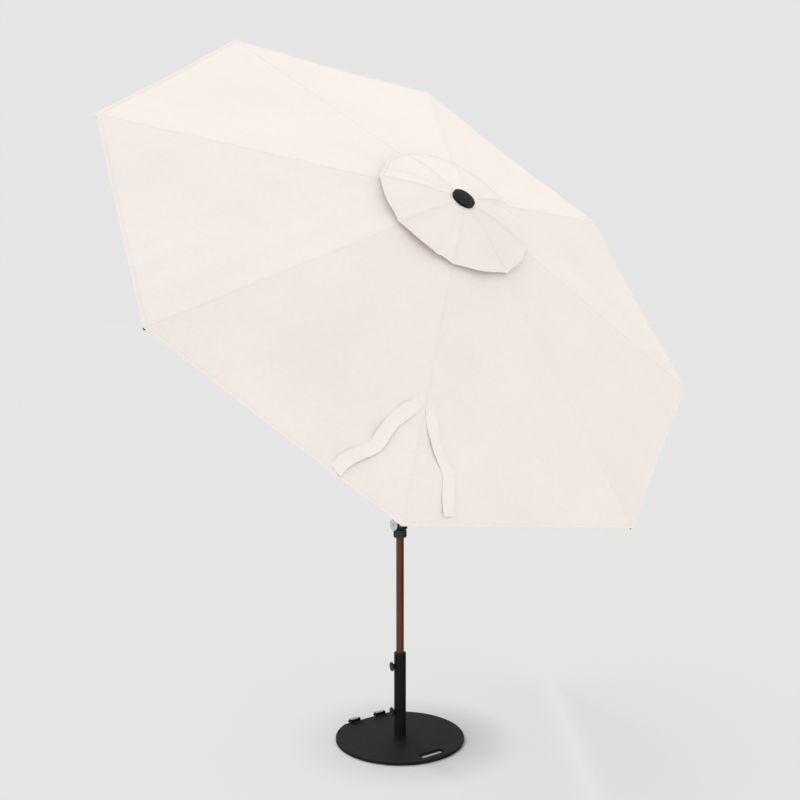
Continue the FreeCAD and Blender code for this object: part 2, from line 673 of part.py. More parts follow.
def tilt_fork():
    """Fixed half of the knuckle, built with the pivot at the origin."""
    depth = FORK_SHOULDER_DEPTH
    shoulder_z = -depth
    body = rod(POLE_R, Vector(0, 0, shoulder_z), Z, SHOULDER_THICKNESS)
    plug_z = shoulder_z - KNUCKLE_PLUG_LENGTH
    body = body.fuse(rod(POLE_BORE - SEAT, Vector(0, 0, plug_z), Z, KNUCKLE_PLUG_LENGTH))
    for x in (-EAR_INNER_X - EAR_THICKNESS, EAR_INNER_X):
        body = body.fuse(knuckle_lug(x, EAR_THICKNESS, depth - SHOULDER_THICKNESS))
    round_off = rod(POLE_R, Vector(0, 0, plug_z), Z, depth + KNUCKLE_PLUG_LENGTH + 30)
    body = body.common(round_off)
    body = body.cut(rod(TILT_PIN_RADIUS + SEAT, Vector(-30, 0, 0), X, 60))
    length = KNUCKLE_PLUG_LENGTH + depth
    body = body.cut(rod(CORD_RADIUS + 1, Vector(0, CORD_OFFSET, plug_z), Z, length))
    body = body.cut(rod(ROD_RADIUS + RUNNING, Vector(ROD_X, ROD_Y, plug_z), Z, length))
    body = body.removeSplitter()
    body.translate(Vector(0, 0, PIVOT_Z))
    return body


def tilt_tongue():
    """Moving half of the knuckle, in the upright frame at the pivot."""
    base = TONGUE_SHOULDER_HEIGHT
    body = rod(POLE_R, Vector(0, 0, base), Z, SHOULDER_THICKNESS)
    plug = Vector(0, 0, base + SHOULDER_THICKNESS)
    body = body.fuse(rod(POLE_BORE - SEAT, plug, Z, KNUCKLE_PLUG_LENGTH))
    outer = EAR_INNER_X - 0.3
    for x in (-outer, outer - CHEEK_THICKNESS):
        cheek = knuckle_lug(x, CHEEK_THICKNESS, base)
        body = body.fuse(cheek.mirror(Vector(), Z))
    body = body.cut(rod(TILT_PIN_RADIUS + RUNNING, Vector(-30, 0, 0), X, 60))
    length = SHOULDER_THICKNESS + KNUCKLE_PLUG_LENGTH + 2
    body = body.cut(rod(CORD_RADIUS + 1, Vector(0, CORD_OFFSET, base - 1), Z, length))
    return body.removeSplitter()


def tilt_pin():
    half = EAR_INNER_X + EAR_THICKNESS
    head = PIN_HEAD_THICKNESS
    pin = rod(TILT_PIN_RADIUS, Vector(-half - head, 0, PIVOT_Z), X, 2 * (half + head))
    for x in (-half - head, half):
        pin = pin.fuse(rod(PIN_HEAD_RADIUS, Vector(x, 0, PIVOT_Z), X, head))
    return pin.removeSplitter()


def cord_guide():
    half = EAR_INNER_X - CHEEK_THICKNESS - 1
    start = Vector(-half, 0, PIVOT_Z)
    return pipe(CORD_OFFSET - CORD_RADIUS, TILT_PIN_RADIUS + SEAT, start, X, 2 * half)


# ------------------------------------------------------------------ cord and tilt rod
def lift_cord_lower():
    start = Vector(0, CORD_OFFSET + SEAT, AXLE_Z)
    return rod(CORD_RADIUS, start, Z, PIVOT_Z - AXLE_Z)


def lift_cord_bend():
    """Quarter of the cord that lies over the guide on the tilt pin."""
    centre = Vector(0, CORD_OFFSET + SEAT, PIVOT_Z)
    face = Part.Face(Part.Wire(Part.makeCircle(CORD_RADIUS, centre, Z)))
    return face.revolve(Vector(0, 0, PIVOT_Z), X, TILT_DEG)


def lift_cord_upper():
    """Up inside the upper pole, over the crown pulley and down to the runner."""
    y0 = CORD_OFFSET + SEAT
    up = rod(CORD_RADIUS, Vector(0, y0, 0), Z, PULLEY_HEIGHT)
    face = Part.Face(Part.Wire(Part.makeCircle(CORD_RADIUS, Vector(0, y0, PULLEY_HEIGHT), Z)))
    over = face.revolve(Vector(0, y0 + PULLEY_CORD_RADIUS, PULLEY_HEIGHT), -X, 180)
    y1 = y0 + 2 * PULLEY_CORD_RADIUS
    foot = RUNNER_TOP + SOFT_GAP
    down = rod(CORD_RADIUS, Vector(0, y1, foot), Z, PULLEY_HEIGHT - foot)
    return up.fuse(over).fuse(down).removeSplitter()


def tilt_rod():
    foot = DOG_Z - DOG_RADIUS - 3
    top = PIVOT_Z - KNUCKLE_RADIUS - ROD_TRAVEL - 1
    bar = rod(ROD_RADIUS, Vector(ROD_X, ROD_Y, foot), Z, top - foot)
    reach = POLE_R + 3 - math.hypot(ROD_X, ROD_Y)
    dog = rod(DOG_RADIUS, Vector(ROD_X, ROD_Y, DOG_Z), dog_direction(), reach)
    return bar.fuse(dog).removeSplitter()


# ------------------------------------------------------------------ upper pole group
def upper_pole():
    foot = UPPER_POLE_FOOT
    top = HUB_TOP - 6
    tube = pipe(POLE_R, POLE_BORE, Vector(0, 0, foot), Z, top - foot)
    reach = PULLEY_CORD_RADIUS + CORD_RADIUS + 2
    half = PULLEY_WIDTH / 2 + 0.4
    window = box(-half, half, 0, POLE_R + 2, PULLEY_HEIGHT - reach, PULLEY_HEIGHT + reach)
    tube = tube.cut(window)
    axle = Vector(-15, CORD_OFFSET + PULLEY_CORD_RADIUS, PULLEY_HEIGHT)
    return tube.cut(rod(PULLEY_AXLE_RADIUS + SEAT, axle, X, 30))


def pulley_axle():
    y = CORD_OFFSET + PULLEY_CORD_RADIUS
    half = math.sqrt(POLE_R**2 - y**2) - 0.2
    start = Vector(-half, y, PULLEY_HEIGHT)
    return rod(PULLEY_AXLE_RADIUS, start, X, 2 * half)


def crown_pulley():
    y = CORD_OFFSET + PULLEY_CORD_RADIUS
    half = PULLEY_WIDTH / 2
    wheel = rod(PULLEY_CORD_RADIUS + 1, Vector(-half, y, PULLEY_HEIGHT), X, PULLEY_WIDTH)
    groove_half = half - PULLEY_FLANGE
    start = Vector(-groove_half, y, PULLEY_HEIGHT)
    deep = PULLEY_CORD_RADIUS - CORD_RADIUS - 0.05
    wheel = wheel.cut(pipe(PULLEY_CORD_RADIUS + 2, deep, start, X, 2 * groove_half))
    return wheel.cut(rod(PULLEY_AXLE_RADIUS + RUNNING, Vector(-9, y, PULLEY_HEIGHT), X, 18))


def spoke_slots(z0, z1, width, inner):
    """Cutters for the rib or stretcher ends, one per rib."""
    cutter = box(inner, HUB_RADIUS + 5, -width / 2, width / 2, z0, z1)
    return [at(cutter, about_pole(rib_azimuth(i))) for i in range(RIB_COUNT)]


def spoke_pins(height, clearance):
    """Pins across the slots at the pivot radius."""
    half = HUB_PIN_HALF
    pin = rod(PIN_RADIUS + clearance, Vector(HUB_PIVOT_RADIUS, -half, height), Y, 2 * half)
    return [at(pin, about_pole(rib_azimuth(i))) for i in range(RIB_COUNT)]


def crown_hub():
    body = rod(HUB_RADIUS, Vector(0, 0, HUB_BOTTOM), Z, HUB_DEPTH)
    skirt = Vector(0, 0, HUB_BOTTOM - HUB_SKIRT)
    body = body.fuse(rod(HUB_CORE_RADIUS, skirt, Z, HUB_SKIRT))
    width = RIB_WIDTH + 2 * SLOT_SIDE
    inner = HUB_PIVOT_RADIUS - RIB_DEPTH / 2 - 0.5
    for cutter in spoke_slots(HUB_BOTTOM - 1, HUB_TOP + 1, width, inner):
        body = body.cut(cutter)
    for hole in spoke_pins(RIB_PIVOT_Z, SEAT):
        body = body.cut(hole)
    body = body.cut(rod(POLE_R + SEAT, skirt, Z, HUB_TOP - 6 - skirt.z))
    body = body.cut(rod(FINIAL_STUD_RADIUS + SEAT, Vector(0, 0, HUB_TOP - 10), Z, 20))
    return body.removeSplitter()


def runner():
    flange_z = RUNNER_PIVOT_Z - RUNNER_FLANGE_DEPTH / 2
    body = rod(HUB_RADIUS, Vector(0, 0, flange_z), Z, RUNNER_FLANGE_DEPTH)
    foot = Vector(0, 0, RUNNER_BOTTOM)
    body = body.fuse(rod(RUNNER_SLEEVE_RADIUS, foot, Z, RUNNER_SLEEVE_LENGTH))
    width = STRETCHER_WIDTH + 2 * SLOT_SIDE + 1
    inner = HUB_PIVOT_RADIUS - STRETCHER_DEPTH / 2 - 1.5
    z0, z1 = flange_z - 1, flange_z + RUNNER_FLANGE_DEPTH + 1
    for cutter in spoke_slots(z0, z1, width, inner):
        body = body.cut(cutter)
    for hole in spoke_pins(RUNNER_PIVOT_Z, SEAT):
        body = body.cut(hole)
    bore = rod(POLE_R + SLIDING, foot - Z, Z, RUNNER_SLEEVE_LENGTH + 2)
    return body.cut(bore).removeSplitter()


def vent_cap():
    """Eight flat gores from the clamped centre out to the lifted edge."""
    top = []
    ring = []
    for i in range(RIB_COUNT):
        a, b = (math.radians(rib_azimuth(i + k)) for k in (0, 1))
        edge = [Vector(CAP_RADIUS * math.cos(t), CAP_RADIUS * math.sin(t), CAP_EDGE_Z)
                for t in (a, b)]
        neck = [Vector(CAP_CENTRE_RADIUS * math.cos(t), CAP_CENTRE_RADIUS * math.sin(t),
                       CAP_CENTRE_Z) for t in (b, a)]
        top.append(edge + neck)
        ring.append(neck[1])
    top.append(ring)
    solid = shell_solid(top, CANOPY_THICKNESS)
    hole = rod(CAP_HOLE_RADIUS, Vector(0, 0, CAP_CENTRE_Z - 5), Z, 10)
    return solid.cut(hole)


def finial():
    z = CAP_CENTRE_Z
    edge, dome = FINIAL_EDGE, FINIAL_DOME
    body = rod(FINIAL_RADIUS, Vector(0, 0, z), Z, edge)
    ball = (FINIAL_RADIUS**2 + dome**2) / (2 * dome)
    cap = Part.makeSphere(ball, Vector(0, 0, z + edge + dome - ball))
    body = body.fuse(cap.common(rod(FINIAL_RADIUS, Vector(0, 0, z + edge), Z, dome + 1)))
    stud = rod(FINIAL_STUD_RADIUS, Vector(0, 0, HUB_TOP - 8), Z, z - HUB_TOP + 9)
    return body.fuse(stud).removeSplitter()


# ------------------------------------------------------------------ ribs, stretchers, canopy
def rib():
    """Steel tube from the crown fitting to the tip, in the rib's frame."""
    length = RIB_END - RIB_EYE_LENGTH
    outer = rounded_section(
        RIB_WIDTH / 2, RIB_DEPTH / 2, RIB_CORNER, RIB_EYE_LENGTH, length
    )
    inner = rounded_section(
        RIB_WIDTH / 2 - RIB_SHEET, RIB_DEPTH / 2 - RIB_SHEET, RIB_CORNER - RIB_SHEET,
        RIB_EYE_LENGTH - 1, length + 2,
    )
    tube = outer.cut(inner)
    spot = Vector(rivet_along(), -RIB_WIDTH, 0)
    return tube.cut(rod(RIVET_RADIUS + SEAT, spot, Y, 2 * RIB_WIDTH))


def rivet_along():
    return BRACKET_ALONG + CLIP_HALF_LENGTH - 5


def rib_plug(start, length):
    """Plug that fits inside the rib tube."""
    return rounded_section(
        RIB_WIDTH / 2 - RIB_SHEET - SEAT, RIB_DEPTH / 2 - RIB_SHEET - SEAT,
        RIB_CORNER - RIB_SHEET, start, length,
    )


def rib_fittings():
    """Crown eye, stretcher clip with its pin and rivet, and tip, in the rib's frame."""
    half = RIB_WIDTH / 2
    eye = rod(RIB_DEPTH / 2 - 0.5, Vector(0, -half, 0), Y, RIB_WIDTH)
    eye = eye.fuse(box(0, RIB_EYE_LENGTH, -half, half, -RIB_DEPTH / 2 + 0.5, RIB_DEPTH / 2 - 0.5))
    eye = eye.fuse(rib_plug(RIB_EYE_LENGTH - 1, RIB_PLUG_LENGTH + 1))
    hole = rod(PIN_RADIUS + RUNNING, Vector(0, -half - 1, 0), Y, RIB_WIDTH + 2)
    eye = eye.cut(hole).removeSplitter()
    s0, s1 = BRACKET_ALONG - CLIP_HALF_LENGTH, BRACKET_ALONG + CLIP_HALF_LENGTH
    inner = half + SEAT
    under = -RIB_DEPTH / 2 - SEAT
    clip = box(s1 - 8, s1, -inner - 1, inner + 1, under - CLIP_SHEET, under)
    for y in (-inner - CLIP_SHEET, inner):
        clip = clip.fuse(box(s0, s1, y, y + CLIP_SHEET, -CLIP_BOTTOM, CLIP_TOP))
    width = 2 * (inner + CLIP_SHEET)
    pin_hole = Vector(BRACKET_ALONG, -width, -BRACKET_DROP)
    clip = clip.cut(rod(PIN_RADIUS + SEAT, pin_hole, Y, 2 * width))
    rivet_hole = Vector(rivet_along(), -width, 0)
    clip = clip.cut(rod(RIVET_RADIUS + SEAT, rivet_hole, Y, 2 * width)).removeSplitter()
    pins = []
    for radius, x, z in (
        (PIN_RADIUS, BRACKET_ALONG, -BRACKET_DROP), (RIVET_RADIUS, rivet_along(), 0.0)
    ):
        reach = width / 2 + 1.5
        pin = rod(radius, Vector(x, -reach, z), Y, 2 * reach)
        for y in (-reach, width / 2 + SEAT):
            pin = pin.fuse(rod(radius + 1.2, Vector(x, y, z), Y, 1.5 - SEAT))
        pins.append(pin.removeSplitter())
    tip = rounded_section(half, RIB_DEPTH / 2, RIB_CORNER, RIB_END, TIP_LENGTH)
    tip = tip.fuse(rib_plug(RIB_END - RIB_PLUG_LENGTH, RIB_PLUG_LENGTH + 1))
    return [eye, clip] + pins + [tip.removeSplitter()]


def stretcher():
    """Channel, open below, from the runner's pivot to the rib's clip."""
    radius, half = STRETCHER_DEPTH / 2, STRETCHER_WIDTH / 2
    bar = stadium(radius, 0, STRETCHER_LENGTH, half)
    inner = half - STRETCHER_SHEET
    bar = bar.cut(box(
        -radius - 1, STRETCHER_LENGTH + radius + 1, -inner, inner,
        -radius - 1, radius - STRETCHER_SHEET,
    ))
    bar = bar.cut(rod(PIN_RADIUS + OPEN_PIVOT, Vector(0, -half - 1, 0), Y, STRETCHER_WIDTH + 2))
    end = Vector(STRETCHER_LENGTH, -half - 1, 0)
    return bar.cut(rod(PIN_RADIUS + RUNNING, end, Y, STRETCHER_WIDTH + 2)).removeSplitter()


def canopy_panel():
    """Cloth on one rib, from mid-gore to mid-gore, with the rib along X."""
    side = BACK - PANEL_TRIM_DEG
    top = []
    for sign in (-1, 1):
        top.append([
            gore_point(VENT_RADIUS, 0), gore_point(CANOPY_RADIUS, 0),
            gore_point(CANOPY_RADIUS, sign * side), gore_point(VENT_RADIUS, sign * side),
        ])
    return shell_solid(top, CANOPY_THICKNESS / math.cos(SLOPE))


def strap(outline):
    """One tie strap, flat on a gore: its outline from rib out, in shares of the canopy's radius."""
    middle = math.radians(math.copysign(BACK, outline[1][1]))
    fall = CANOPY_RISE / (CANOPY_RADIUS * math.cos(math.radians(BACK)))
    normal = Vector(fall * math.cos(middle), fall * math.sin(middle), 1)
    normal.normalize()
    corners = []
    for out, side in outline:
        spot = Vector(out, side, 0) * CANOPY_RADIUS
        run = spot.x * math.cos(middle) + spot.y * math.sin(middle)
        spot.z = RIM_HEIGHT + CANOPY_RISE - fall * run
        corners.append(spot + normal * SOFT_GAP)
    face = Part.Face(Part.makePolygon(corners + corners[:1]))
    return face.extrude(normal * STRAP_THICKNESS)


def tie_straps():
    both = Part.makeCompound([strap(STRAP_LEFT), strap(STRAP_RIGHT)])
    return tilted(at(both, about_pole(rib_azimuth(STRAP_RIB))))


# ------------------------------------------------------------------ assembly
def save(name, shape):
    """Write one node, after checking that its solids are sound."""
    solids = shape.Solids
    assert solids and all(s.isValid() and s.Volume > 0 for s in solids), name
    out = solids[0] if len(solids) == 1 else Part.makeCompound(solids)
    out.exportStep(os.path.join("parts", name + ".step"))
    print(f"{name}: {len(solids)} solid(s), {sum(s.Volume for s in solids) / 1000:.1f} cm3")


def main():
    os.makedirs("parts", exist_ok=True)
    nodes = {
        "base_plate": on_base(base_plate()),
        "base_feet": on_base(base_feet()),
        "base_tube": on_base(base_tube(), KNOB_TURN_DEG),
        "tube_cap": on_base(tube_cap(), KNOB_TURN_DEG),
        "lower_knob": on_base(clamp_knob(KNOB_HEIGHTS[0]), KNOB_TURN_DEG),
        "upper_knob": on_base(clamp_knob(KNOB_HEIGHTS[1]), KNOB_TURN_DEG),
        "roller_brackets": on_base(roller_brackets()),
        "roller_hardware": on_base(Part.makeCompound([roller_axles(), bracket_screws()])),
        "roller_left": on_base(roller(-1)),
        "roller_right": on_base(roller(1)),
        "lower_pole": lower_pole(),
        "pole_plug": pole_plug(),
        "tilt_collar": tilt_collar(),
        "crank_housing": crank_housing(),
        "crank_cover": crank_cover(),
        "cover_screws": cover_screws(),
        "crank_spool": crank_spool(),
        "crank_axle": crank_axle(),
        "crank_arm": Part.makeCompound([crank_arm(), grip_pin()]),
        "crank_grip": crank_grip(),
        "mid_pole": mid_pole(),
        "tilt_fork": tilt_fork(),
        "tilt_tongue": tilted(tilt_tongue()),
        "tilt_pin": Part.makeCompound([tilt_pin(), cord_guide()]),
        "lift_cord_lower": Part.makeCompound([lift_cord_lower(), lift_cord_bend()]),
        "lift_cord_upper": tilted(lift_cord_upper()),
        "tilt_rod": tilt_rod(),
        "upper_pole": tilted(upper_pole()),
        "crown_hub": tilted(crown_hub()),
        "hub_pins": tilted(Part.makeCompound(spoke_pins(RIB_PIVOT_Z, 0) + [pulley_axle()])),
        "crown_pulley": tilted(crown_pulley()),
        "runner": tilted(runner()),
        "runner_pins": tilted(Part.makeCompound(spoke_pins(RUNNER_PIVOT_Z, 0))),
        "vent_cap": tilted(vent_cap()),
        "finial": tilted(finial()),
        "tie_straps": tie_straps(),
    }
    bare_rib = rib()
    fittings = Part.makeCompound(rib_fittings())
    bar = stretcher()
    panel = canopy_panel()
    for i in range(RIB_COUNT):
        frame = rib_frame(i)
        nodes[f"rib_{i + 1}"] = tilted(
            Part.makeCompound([at(bare_rib, frame)] + at(fittings, frame).Solids)
        )
        nodes[f"stretcher_{i + 1}"] = tilted(at(bar, stretcher_frame(i)))
        nodes[f"canopy_panel_{i + 1}"] = tilted(at(panel, about_pole(rib_azimuth(i))))
    for name, shape in nodes.items():
        save(name, shape)
    print(f"rib pivot {RIB_PIVOT_Z:.3f}, runner pivot {RUNNER_PIVOT_Z:.3f}, "
          f"stretcher angle {math.degrees(STRETCHER_ANGLE):.4f}, nodes {len(nodes)}")


if __name__ == "__main__":
    main()
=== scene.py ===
"""Looks of the patio umbrella: cloth canopy, vent cap, tie straps, and every finish."""

from __future__ import annotations

import json
import logging
import math
from dataclasses import dataclass, field
from enum import Enum
from typing import Callable

import bmesh
import bpy
import numpy as np
from mathutils import Matrix, Vector

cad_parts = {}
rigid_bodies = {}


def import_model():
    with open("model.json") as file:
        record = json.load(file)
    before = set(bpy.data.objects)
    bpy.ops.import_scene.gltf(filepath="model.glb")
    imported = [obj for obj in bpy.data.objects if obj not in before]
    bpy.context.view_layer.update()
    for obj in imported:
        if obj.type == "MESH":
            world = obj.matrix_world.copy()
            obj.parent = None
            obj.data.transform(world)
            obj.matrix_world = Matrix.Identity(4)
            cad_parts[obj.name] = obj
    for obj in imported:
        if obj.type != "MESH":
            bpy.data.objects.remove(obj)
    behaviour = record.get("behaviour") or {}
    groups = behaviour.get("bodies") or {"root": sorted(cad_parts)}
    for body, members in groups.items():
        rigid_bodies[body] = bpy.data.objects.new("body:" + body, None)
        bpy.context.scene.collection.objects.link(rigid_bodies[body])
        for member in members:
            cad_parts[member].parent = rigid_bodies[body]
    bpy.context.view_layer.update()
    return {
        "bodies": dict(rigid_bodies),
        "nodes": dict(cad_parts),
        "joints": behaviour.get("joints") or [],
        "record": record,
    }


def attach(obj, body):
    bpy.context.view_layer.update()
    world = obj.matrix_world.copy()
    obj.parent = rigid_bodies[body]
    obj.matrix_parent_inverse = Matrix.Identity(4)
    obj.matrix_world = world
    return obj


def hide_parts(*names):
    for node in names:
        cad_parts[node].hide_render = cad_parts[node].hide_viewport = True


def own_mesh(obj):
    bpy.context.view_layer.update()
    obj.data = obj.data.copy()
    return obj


logging.basicConfig(level=logging.INFO, format="%(message)s")
LOG = logging.getLogger("umbrella")


def linear(red: int, green: int, blue: int) -> tuple[float, float, float, float]:
    """Turn an 8-bit display colour into a linear one.

    Args:
        red: red, 0 to 255.
        green: green, 0 to 255.
        blue: blue, 0 to 255.

    Returns:
        The linear colour with alpha 1.
    """
    def one(value: int) -> float:
        """Linear value of one channel."""
        share = value / 255
        return share / 12.92 if share <= 0.04045 else ((share + 0.055) / 1.055) ** 2.4

    return one(red), one(green), one(blue), 1.0


# ---------------------------------------------------------------- finishes
class Weave(Enum):
    """How a cloth's threads lie."""

    PLAIN = "plain"
    RIBBED = "ribbed"


class Surface:
    """Small helper that builds one material's nodes."""

    def __init__(self, name: str) -> None:
        """Start a material with its shader and Object coordinates.

        Args:
            name: the material's name.
        """
        self.material = bpy.data.materials.new(name)
        self.material.use_nodes = True
        self.nodes = self.material.node_tree.nodes
        self.links = self.material.node_tree.links
        self.shader = self.nodes["Principled BSDF"]
        self.place = self.nodes.new("ShaderNodeTexCoord").outputs["Object"]

    def set(self, **values: float | tuple) -> None:
        """Set the shader's sockets; underscores stand for spaces.

        Args:
            values: socket names and their values.
        """
        for key, value in values.items():
            self.shader.inputs[key.replace("_", " ")].default_value = value

    def noise(self, scale: float, detail: float = 3.0, vector=None):
        """Noise texture's factor.

        Args:
            scale: features per metre.
            detail: octaves.
            vector: coordinates, or None for Object.

        Returns:
            The output socket.
        """
        node = self.nodes.new("ShaderNodeTexNoise")
        node.inputs["Scale"].default_value = scale
        node.inputs["Detail"].default_value = detail
        self.links.new(self.place if vector is None else vector, node.inputs["Vector"])
        return node.outputs["Fac"]

    def wave(self, scale: float, axis: str, vector=None, distortion: float = 0.0):
        """Sine bands along one axis.

        Args:
            scale: Blender wave scale, about bands per metre over 3.2.
            axis: X, Y or Z.
            vector: coordinates, or None for Object.
            distortion: how far noise bends the bands.

        Returns:
            The output socket.
        """
        node = self.nodes.new("ShaderNodeTexWave")
        node.bands_direction = axis
        node.inputs["Scale"].default_value = scale
        node.inputs["Distortion"].default_value = distortion
        self.links.new(self.place if vector is None else vector, node.inputs["Vector"])
        return node.outputs["Fac"]

    def math(self, kind: str, first, second) -> bpy.types.NodeSocket:
        """Math node on two sockets or numbers.

        Args:
            kind: operation.
            first: socket or number.
            second: socket or number.

        Returns:
            The output socket.
        """
        node = self.nodes.new("ShaderNodeMath")
        node.operation = kind
        for socket, value in zip(node.inputs, (first, second)):
            if isinstance(value, (int, float)):
                socket.default_value = value
            else:
                self.links.new(value, socket)
        return node.outputs[0]

    def ramp(self, factor, stops: list[tuple[float, tuple]]):
        """Colour ramp.

        Args:
            factor: the socket that drives it.
            stops: positions and colours.

        Returns:
            The colour socket.
        """
        node = self.nodes.new("ShaderNodeValToRGB")
        while len(node.color_ramp.elements) < len(stops):
            node.color_ramp.elements.new(0.5)
        for element, (position, colour) in zip(node.color_ramp.elements, stops):
            element.position = position
            element.color = colour
        self.links.new(factor, node.inputs["Fac"])
        return node.outputs["Color"]

    def colour(self, socket) -> None:
        """Drive the base colour."""
        self.links.new(socket, self.shader.inputs["Base Color"])

    def roughness(self, socket, low: float, high: float) -> None:
        """Drive the roughness between two values.

        Args:
            socket: factor from 0 to 1.
            low: roughness at 0.
            high: roughness at 1.
        """
        node = self.nodes.new("ShaderNodeMapRange")
        node.inputs["To Min"].default_value = low
        node.inputs["To Max"].default_value = high
        self.links.new(socket, node.inputs["Value"])
        self.links.new(node.outputs["Result"], self.shader.inputs["Roughness"])

    def bump(self, height, strength: float, distance: float) -> None:
        """Bump from a height socket.

        Args:
            height: the socket.
            strength: 0 to 1.
            distance: depth in metres.
        """
        node = self.nodes.new("ShaderNodeBump")
        node.inputs["Strength"].default_value = strength
        node.inputs["Distance"].default_value = distance
        self.links.new(height, node.inputs["Height"])
        self.links.new(node.outputs["Normal"], self.shader.inputs["Normal"])

    def uv(self):
        """The piece's own UV map, in metres along and across the cloth."""
        return self.nodes.new("ShaderNodeTexCoord").outputs["UV"]


def shade(colour: tuple, factor: float) -> tuple:
    """Colour times a factor, alpha kept."""
    return tuple(min(1.0, c * factor) for c in colour[:3]) + (1.0,)


@dataclass(frozen=True)
class Cloth:
    """Woven polyester or webbing, its threads on the piece's UV map."""

    name: str
    tone: tuple
    weave: Weave = Weave.PLAIN
    threads: float = 420.0
    depth: float = 0.00018
    glow: float = 0.0

    def make(self) -> bpy.types.Material:
        """Build the material.

        Returns:
            The material.
        """
        s = Surface(self.name)
        s.set(Sheen_Weight=0.12, Sheen_Roughness=0.5, Specular_IOR_Level=0.25)
        mottling = s.math("MULTIPLY", s.noise(2.4, 4.0), 0.6)
        slub = s.math("MULTIPLY", s.noise(55.0, 2.0), 0.4)
        mix = s.math("ADD", mottling, slub)
        s.colour(s.ramp(mix, [(0.30, shade(self.tone, 0.965)), (0.70, shade(self.tone, 1.02))]))
        warp = s.wave(self.threads, "X", s.uv())
        if self.weave is Weave.PLAIN:
            height = s.math("ADD", warp, s.wave(self.threads, "Y", s.uv()))
        else:
            height = s.math("ADD", warp, s.math("MULTIPLY", s.wave(self.threads * 3, "Y", s.uv()), 0.3))
        s.roughness(s.noise(180.0), 0.78, 0.92)
        s.bump(height, 0.35, self.depth)
        return s.material


@dataclass(frozen=True)
class Paint:
    """Sprayed paint or powder coat with fine orange peel and dulled patches."""

    name: str
    tone: tuple
    gloss: tuple[float, float]
    peel: float
    depth: float = 0.00012
    specular: float = 0.5
    coat: float = 0.0

    def make(self) -> bpy.types.Material:
        """Build the material.

        Returns:
            The material.
        """
        s = Surface(self.name)
        s.set(Specular_IOR_Level=self.specular, Coat_Weight=self.coat, Coat_Roughness=0.3)
        wear = s.noise(9.0, 5.0)
        s.colour(s.ramp(wear, [(0.35, shade(self.tone, 0.93)), (0.7, shade(self.tone, 1.07))]))
        s.roughness(s.noise(30.0, 4.0), *self.gloss)
        s.bump(s.noise(self.peel, 2.0), 0.5, self.depth)
        return s.material


@dataclass(frozen=True)
class Moulding:
    """Moulded plastic or rubber with a fine spark-eroded grain."""

    name: str
    tone: tuple
    gloss: tuple[float, float] = (0.42, 0.6)
    grain: float = 1400.0
    specular: float = 0.14

    def make(self) -> bpy.types.Material:
        """Build the material.

        Returns:
            The material.
        """
        s = Surface(self.name)
        s.set(Specular_IOR_Level=self.specular)
        s.colour(s.ramp(s.noise(40.0), [(0.3, shade(self.tone, 0.92)), (0.7, shade(self.tone, 1.08))]))
        s.roughness(s.noise(25.0, 4.0), *self.gloss)
        s.bump(s.noise(self.grain, 2.0), 0.35, 0.0001)
        return s.material


@dataclass(frozen=True)
class Metal:
    """Bare metal: drawn, cast or plated, with streaks along one axis."""

    name: str
    tone: tuple
    gloss: tuple[float, float] = (0.25, 0.42)
    streaks: float = 160.0

    def make(self) -> bpy.types.Material:
        """Build the material.

        Returns:
            The material.
        """
        s = Surface(self.name)
        s.set(Metallic=1.0)
        s.colour(s.ramp(s.noise(20.0, 5.0), [(0.3, shade(self.tone, 0.88)), (0.7, self.tone)]))
        streak = s.wave(self.streaks, "Z", None, 6.0)
        s.roughness(streak, *self.gloss)
        s.bump(streak, 0.15, 0.00005)
        return s.material


class Finishes:
    """All the finishes, built once, by the record's slot names."""

    def __init__(self) -> None:
        """Build every material."""
        recipes = {
            "cream_fabric": Cloth("cream_canopy_cloth", linear(243, 236, 230)),
            "strap_webbing": Cloth(
                "cream_webbing", linear(246, 239, 232), Weave.RIBBED, 85.0, 0.0006
            ),
            "thread": Cloth("sewing_thread", linear(238, 231, 224), Weave.RIBBED, 900.0),
            "black_steel": Paint(
                "black_powder_coat", linear(24, 24, 24), (0.55, 0.66), 900.0, 0.00006,
                specular=0.11,
            ),
            "brown_pole": Paint(
                "bronze_brown_paint", linear(98, 54, 32), (0.26, 0.34), 160.0, 0.00001,
                specular=0.2,
            ),
            "rib_steel": Paint("rib_brown_paint", linear(96, 60, 40), (0.35, 0.5), 700.0),
            "black_plastic": Moulding("black_moulding", linear(26, 26, 27)),
            "dark_collar": Moulding("charcoal_moulding", linear(58, 58, 60), (0.4, 0.55)),
            "hub_plastic": Moulding("hub_moulding", linear(24, 24, 25), (0.5, 0.65), specular=0.06),
            "grey_plastic": Moulding("grey_roller", linear(186, 188, 190), (0.4, 0.55)),
            "dark_housing": Moulding("dark_housing_moulding", linear(43, 43, 45)),
            "foot_rubber": Moulding("pad_rubber", linear(36, 36, 36), (0.75, 0.9), 700.0),
            "zinc_steel": Metal("zinc_plated_steel", linear(196, 197, 200)),
            "cast_fitting": Metal("cast_aluminium", linear(176, 175, 172), (0.4, 0.55), 60.0),
            "silver_crank": Metal("satin_aluminium", linear(214, 215, 217), (0.3, 0.42)),
            "cord_fabric": Cloth("braided_cord", linear(60, 60, 62), Weave.RIBBED, 500.0),
        }
        self.by_slot = {slot: recipe.make() for slot, recipe in recipes.items()}

    def dress_cad(self, frame: dict) -> None:
        """Give each CAD node the finish of its slot.
        """
        slots = {s["node"]: s["material_slot"] for s in frame["record"]["subparts"]}
        for name, node in frame["nodes"].items():
            material = self.by_slot[slots[name]]
            for place in node.material_slots:
                place.link = "OBJECT"
                place.material = material
        LOG.info("dressed %d nodes", len(frame["nodes"]))


